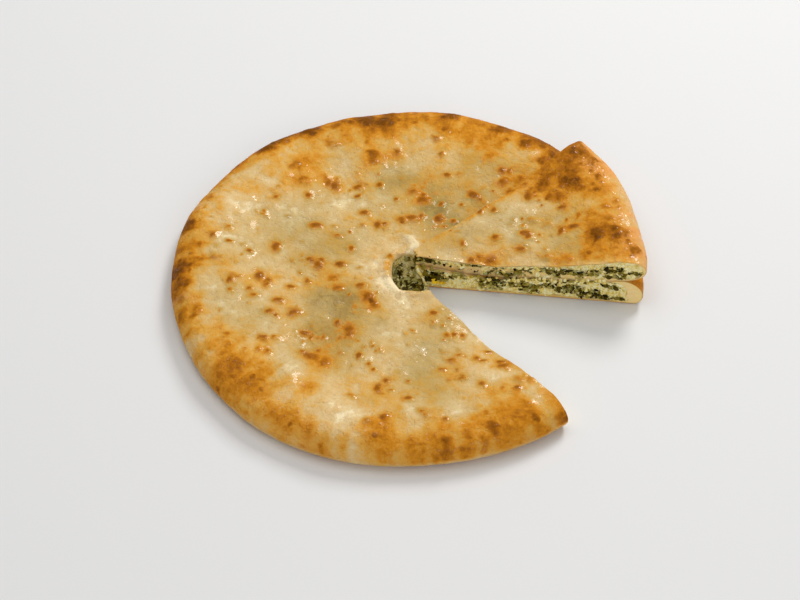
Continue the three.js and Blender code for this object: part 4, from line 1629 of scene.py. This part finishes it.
@dataclass
class Wall:
    """A cut through a filling: its direction, the side that faces out, and its share of small pieces."""

    shape: Round
    degrees: float
    side: int
    clumps: tuple
    seed: int
    share: float


def cut_walls(context):
    """The four cuts, starting with the two that face the viewer."""
    pie = pie_round(context.scene.pie_crust)
    piece = slice_round(context.scene.pie_crust)
    return (
        Wall(pie, FAR_CUT, -1, PIE_CLUMPS, PIE_SEED, 1.0),
        Wall(piece, SLICE_NEAR_CUT, -1, SLICE_CLUMPS, SLICE_SEED, 1.0),
        Wall(pie, NEAR_CUT, 1, HIDDEN_CLUMPS, PIE_SEED + LAST_CUT_SEED, HIDDEN_SHARE),
        Wall(piece, SLICE_FAR_CUT, 1, HIDDEN_CLUMPS, SLICE_SEED + LAST_CUT_SEED, HIDDEN_SHARE),
    )


def wall_points(wall, along, height, depth, margin=0.5):
    """Points on a cut at lengths along it and heights over the base, kept between the two skins by a
    margin, with the directions along the cut and out of it."""
    shape = wall.shape
    turn = np.full_like(along, math.radians(wall.degrees))
    x, y = shape.at(turn, along)
    low = shape.base(x, y) + shape.base_skin + margin
    high = shape.top(x, y) - shape.skin - margin
    z = np.clip(shape.base(x, y) + height, low, np.maximum(high, low))
    direction = np.stack([np.cos(turn), np.sin(turn), 0 * turn], axis=-1)
    out = wall.side * np.stack([-np.sin(turn), np.cos(turn), 0 * turn], axis=-1)
    relief = crag(along, z, wall.seed, depth) * step(1, 8, along)
    return np.stack([x, y, z], axis=-1) + out * relief[:, None], direction, out


def hollow_points(shape, depth, turn, level):
    """Points on the wall of the steam hole, with a direction round the wall and the direction out of it."""
    zero = np.zeros_like(turn)
    small = 0.01
    here = filling_place(shape, depth, turn, zero, level)
    aside = filling_place(shape, depth, turn + small, zero, level) - here
    upward = filling_place(shape, depth, turn, zero, level + small) - here
    aside = unit(aside)
    out = unit(np.cross(upward, aside))
    centre = np.array([HOLE_CENTRE[0], HOLE_CENTRE[1], MIDDLE_THICKNESS])
    facing = np.sign(np.sum(out * (centre - here), axis=1))
    return here, aside, out * facing[:, None]


def wall_greens(draw, wall, count, depth):
    """Shreds of leaf in the clumps of a cut: points, directions along them and out, and tints."""
    clumps = np.array(wall.clumps, dtype=float)
    share = clumps[:, 2] * clumps[:, 3]
    chosen = clumps[draw.choice(len(clumps), count, p=share / share.sum())]
    along = chosen[:, 0] + chosen[:, 2] * draw.uniform(-1, 1, count)
    height = chosen[:, 1] + chosen[:, 3] * draw.uniform(-1, 1, count)
    point, direction, out = wall_points(wall, along, height, depth, 1.3 + 6 * (1 - wall.share))
    tilt = draw.normal(0, 0.8 * wall.share, count)[:, None]
    turned = direction * np.cos(tilt) + np.array([[0.0, 0.0, 1.0]]) * np.sin(tilt)
    return point, turned, out, np.clip(draw.normal(0.4, 0.36, count), 0, 0.82)


def seam_points(draw, wall, count, reach):
    """Points scattered along the top of a cut, over the line where the slice lies on the pie."""
    along = draw.uniform(*reach, count)
    point, direction, out = wall_points(wall, along, np.full(count, 5.0), 0)
    point[:, 2] = wall.shape.top(point[:, 0], point[:, 1]) + draw.uniform(-1, 1.4, count)
    return point + out * 0.35, direction, out


def hollow_greens(draw, shape, count, depth):
    """Shreds of leaf on the wall of the steam hole. They are lightest at its left, where light falls."""
    turn = draw.uniform(0.01, 0.97, count)
    point, aside, out = hollow_points(shape, depth, turn, draw.uniform(0.06, 0.86, count))
    roll = draw.uniform(0, math.pi, count)[:, None]
    turned = aside * np.cos(roll) + np.cross(out, aside) * np.sin(roll)
    light = 0.34 + 0.36 * bell((turn - 0.42) / 0.24)
    return point, turned, out, np.clip(draw.normal(light, 0.3), 0, 0.76)


def heap_greens(draw, count):
    """Shreds of leaf on the heap in the steam hole."""
    around = draw.uniform(0, 2 * math.pi, count)
    out_part = np.sqrt(draw.uniform(0, 0.8, count))
    x = HEAP_CENTRE[0] + HEAP_HALVES[0] * out_part * np.cos(around)
    y = HEAP_CENTRE[1] + HEAP_HALVES[1] * out_part * np.sin(around)
    roll = draw.uniform(0, math.pi, count)
    point = np.stack([x, y, 0.4 + heap_top(x, y)], axis=-1)
    turned = np.stack([np.cos(roll), np.sin(roll), 0 * roll], axis=-1)
    out = np.broadcast_to([0.0, 0.0, 1.0], (count, 3))
    return point, turned, out, np.clip(draw.normal(0.5, 0.3, count), 0, 0.76)


def yellow_greens(draw, wall, count, depth):
    """A yellow bit beside the hole, as a bundle of shreds that run down along the cut."""
    along = np.linspace(21, 28, count) + draw.uniform(-1, 1, count)
    point, direction, out = wall_points(wall, along, np.linspace(7, 4, count), depth)
    falling = direction * 0.85 + np.array([[0.0, 0.0, -0.5]])
    return point + out * 0.8, falling, out, np.ones(count)


class PIE_OT_greens(bpy.types.Operator):
    """Makes the shreds of leaf on the cuts and in the steam hole"""

    bl_idname = "flat_pie.greens"
    bl_label = "Chopped greens"

    def execute(self, context):
        settings = context.scene.pie_filling
        depth = settings.crag / MM
        draw = np.random.default_rng(GREENS_SEED)
        walls = cut_walls(context)
        pie_wall = walls[0]
        groups = [wall_greens(draw, wall, int(settings.shreds * wall.share), depth) for wall in walls]
        seam = seam_points(draw, pie_wall, SEAM_SHREDS, SHRED_SEAM)
        groups.append((*seam, np.clip(draw.normal(0.4, 0.26, SEAM_SHREDS), 0, 0.84)))
        seam = seam_points(draw, pie_wall, INNER_SEAM_SHREDS, SHRED_INNER_SEAM)
        groups.append((*seam, draw.uniform(0.5, 0.88, INNER_SEAM_SHREDS)))
        groups.append(hollow_greens(draw, pie_wall.shape, HOLE_SHREDS, depth))
        groups.append(heap_greens(draw, HEAP_SHREDS))
        groups.append(yellow_greens(draw, pie_wall, YELLOW_SHREDS, depth))

        *parts, tints = zip(*groups)
        centre, along, out = (np.vstack(part) for part in parts)
        tint = np.hstack(tints)
        count = len(centre)
        in_hole = np.hypot(centre[:, 0], centre[:, 1]) < HOLE_REACH
        wide = np.where((tint == 1) | in_hole, HOLE_SHRED_WIDER, 1)
        points, faces = leaf_shreds(
            centre,
            along,
            out,
            draw.uniform(0.25, 1, count) * settings.leaf_length / MM,
            (SHRED_WIDTH + SHRED_WIDTH_MORE * draw.uniform(0, 1, count) ** 2) * wide,
            draw.uniform(0.2, 1, count),
            draw.uniform(-1, 1, count),
            draw.uniform(-1.1, 1.1, count),
        )
        points[:, 2] = np.maximum(points[:, 2], 0.1)
        values = {"tint": np.repeat(tint, len(points) // count)}
        material = shared_material("cooked_leaf", leaf_material, settings)
        make_piece("chopped_greens", points, faces.tolist(), values, material, None)
        return {"FINISHED"}


class PIE_OT_curds(bpy.types.Operator):
    """Makes the crumbs of curd cheese on the cuts, and a strand of it in the steam hole"""

    bl_idname = "flat_pie.curds"
    bl_label = "Curd crumbs"

    def execute(self, context):
        settings = context.scene.pie_filling
        depth = settings.crag / MM
        largest = settings.curd_size / MM
        draw = np.random.default_rng(CURDS_SEED)
        walls = cut_walls(context)
        pie_wall = walls[0]
        centres = []
        sizes = []
        for wall in walls:
            count = int(settings.curds * wall.share * 2)
            along = draw.uniform(*CURD_REACH, count)
            height = draw.uniform(*CURD_HEIGHTS, count)
            size = draw.uniform(0.35, 1, count) ** 1.6 * largest
            free = clump_field(wall.clumps, along, height) < draw.uniform(0.4, 1, count)
            margin = 0.4 + 1.2 * size[free] + 3 * (1 - wall.share)
            point, _, out = wall_points(wall, along[free], height[free], depth, margin)
            centres.append(point - out * 0.45 * size[free][:, None])
            sizes.append(size[free])
        centres.append(seam_points(draw, pie_wall, SEAM_CURDS, CURD_SEAM)[0])
        sizes.append(draw.uniform(0.2, 0.8, SEAM_CURDS) * largest)
        turn = draw.uniform(0.1, 0.8, HOLE_CURDS)
        level = draw.uniform(0.1, 0.8, HOLE_CURDS)
        centres.append(hollow_points(pie_wall.shape, depth, turn, level)[0])
        sizes.append(draw.uniform(0.2, 0.7, HOLE_CURDS) * largest)
        points, faces = curd_lumps(np.vstack(centres), np.hstack(sizes), draw)
        material = shared_material("curd_crumb", curd_material, settings)
        make_piece("curd_crumbs", points, faces, {}, material, None)
        points, quads = strand_surface()
        make_piece("curd_strand", points, quads.tolist(), {}, material, None)
        return {"FINISHED"}


def soft_box(name, place, size, power, colour):
    """A square area light at a place, turned to face the middle of the pie."""
    light = bpy.data.lights.new(name, "AREA")
    light.shape = "SQUARE"
    light.size = size
    light.energy = power
    light.color = colour
    lamp = bpy.data.objects.new(name, light)
    bpy.context.scene.collection.objects.link(lamp)
    lamp.location = place
    x, y, z = place
    lamp.rotation_euler = (math.atan2(math.hypot(x, y), z), 0, math.atan2(y, x) + math.pi / 2)


class PIE_OT_stage(bpy.types.Operator):
    """Makes the floor, the lights and the camera"""

    bl_idname = "flat_pie.stage"
    bl_label = "Stage"

    def execute(self, context):
        settings = context.scene.pie_stage
        scene = context.scene
        scene.view_settings.view_transform = "Standard"
        mesh = bpy.data.meshes.new("floor")
        corners = ((-1, -1), (1, -1), (1, 1), (-1, 1))
        places = [(FLOOR_HALF * x, FLOOR_HALF * y, FLOOR_LEVEL) for x, y in corners]
        mesh.from_pydata(places, [], [(0, 1, 2, 3)])
        mesh.materials.append(floor_material(settings))
        floor = bpy.data.objects.new("floor", mesh)
        scene.collection.objects.link(floor)

        world = bpy.data.worlds.new("studio")
        world.use_nodes = True
        surround = world.node_tree.nodes["Background"]
        surround.inputs["Color"].default_value = (1.0, 1.0, 1.0, 1.0)
        surround.inputs["Strength"].default_value = settings.sky
        scene.world = world
        for name, place, size, power, colour in SOFT_BOXES:
            soft_box(name, place, size, getattr(settings, power), colour)

        lens = bpy.data.cameras.new("view")
        lens.sensor_width = SENSOR_WIDTH
        lens.sensor_fit = "HORIZONTAL"
        lens.lens = settings.lens
        lens.shift_x, lens.shift_y = VIEW_SHIFT
        lens.clip_end = VIEW_DEPTH
        camera = bpy.data.objects.new("view", lens)
        scene.collection.objects.link(camera)
        away = settings.distance
        camera.location = (0, -away * math.cos(settings.elevation), away * math.sin(settings.elevation))
        camera.rotation_euler = (math.pi / 2 - settings.elevation, 0, 0)
        scene.camera = camera
        return {"FINISHED"}


class PIE_PT_panel(bpy.types.Panel):
    """Lists the pieces of the pie and their settings"""

    bl_idname = "PIE_PT_panel"
    bl_label = "Filled flat pie"
    bl_space_type = "VIEW_3D"
    bl_region_type = "UI"
    bl_category = "Pie"

    def draw(self, context):
        for operator in OPERATORS:
            self.layout.operator(operator.bl_idname)
        for group in (context.scene.pie_crust, context.scene.pie_filling, context.scene.pie_stage):
            column = self.layout.column()
            for key in group.__annotations__:
                column.prop(group, key)


SETTINGS = {"pie_crust": CrustSettings, "pie_filling": FillingSettings, "pie_stage": StageSettings}
OPERATORS = (
    PIE_OT_stage,
    PIE_OT_pie_crust,
    PIE_OT_slice_crust,
    PIE_OT_fillings,
    PIE_OT_greens,
    PIE_OT_curds,
)


def register():
    for key, group in SETTINGS.items():
        bpy.utils.register_class(group)
        setattr(bpy.types.Scene, key, bpy.props.PointerProperty(type=group))
    for kind in (*OPERATORS, PIE_PT_panel):
        bpy.utils.register_class(kind)


def unregister():
    for kind in (PIE_PT_panel, *reversed(OPERATORS)):
        bpy.utils.unregister_class(kind)
    for key, group in SETTINGS.items():
        delattr(bpy.types.Scene, key)
        bpy.utils.unregister_class(group)


def main():
    """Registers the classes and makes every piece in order."""
    register()
    bpy.ops.flat_pie.stage()
    bpy.ops.flat_pie.pie_crust()
    bpy.ops.flat_pie.slice_crust()
    bpy.ops.flat_pie.fillings()
    bpy.ops.flat_pie.greens()
    bpy.ops.flat_pie.curds()


if __name__ == "__main__":
    main()
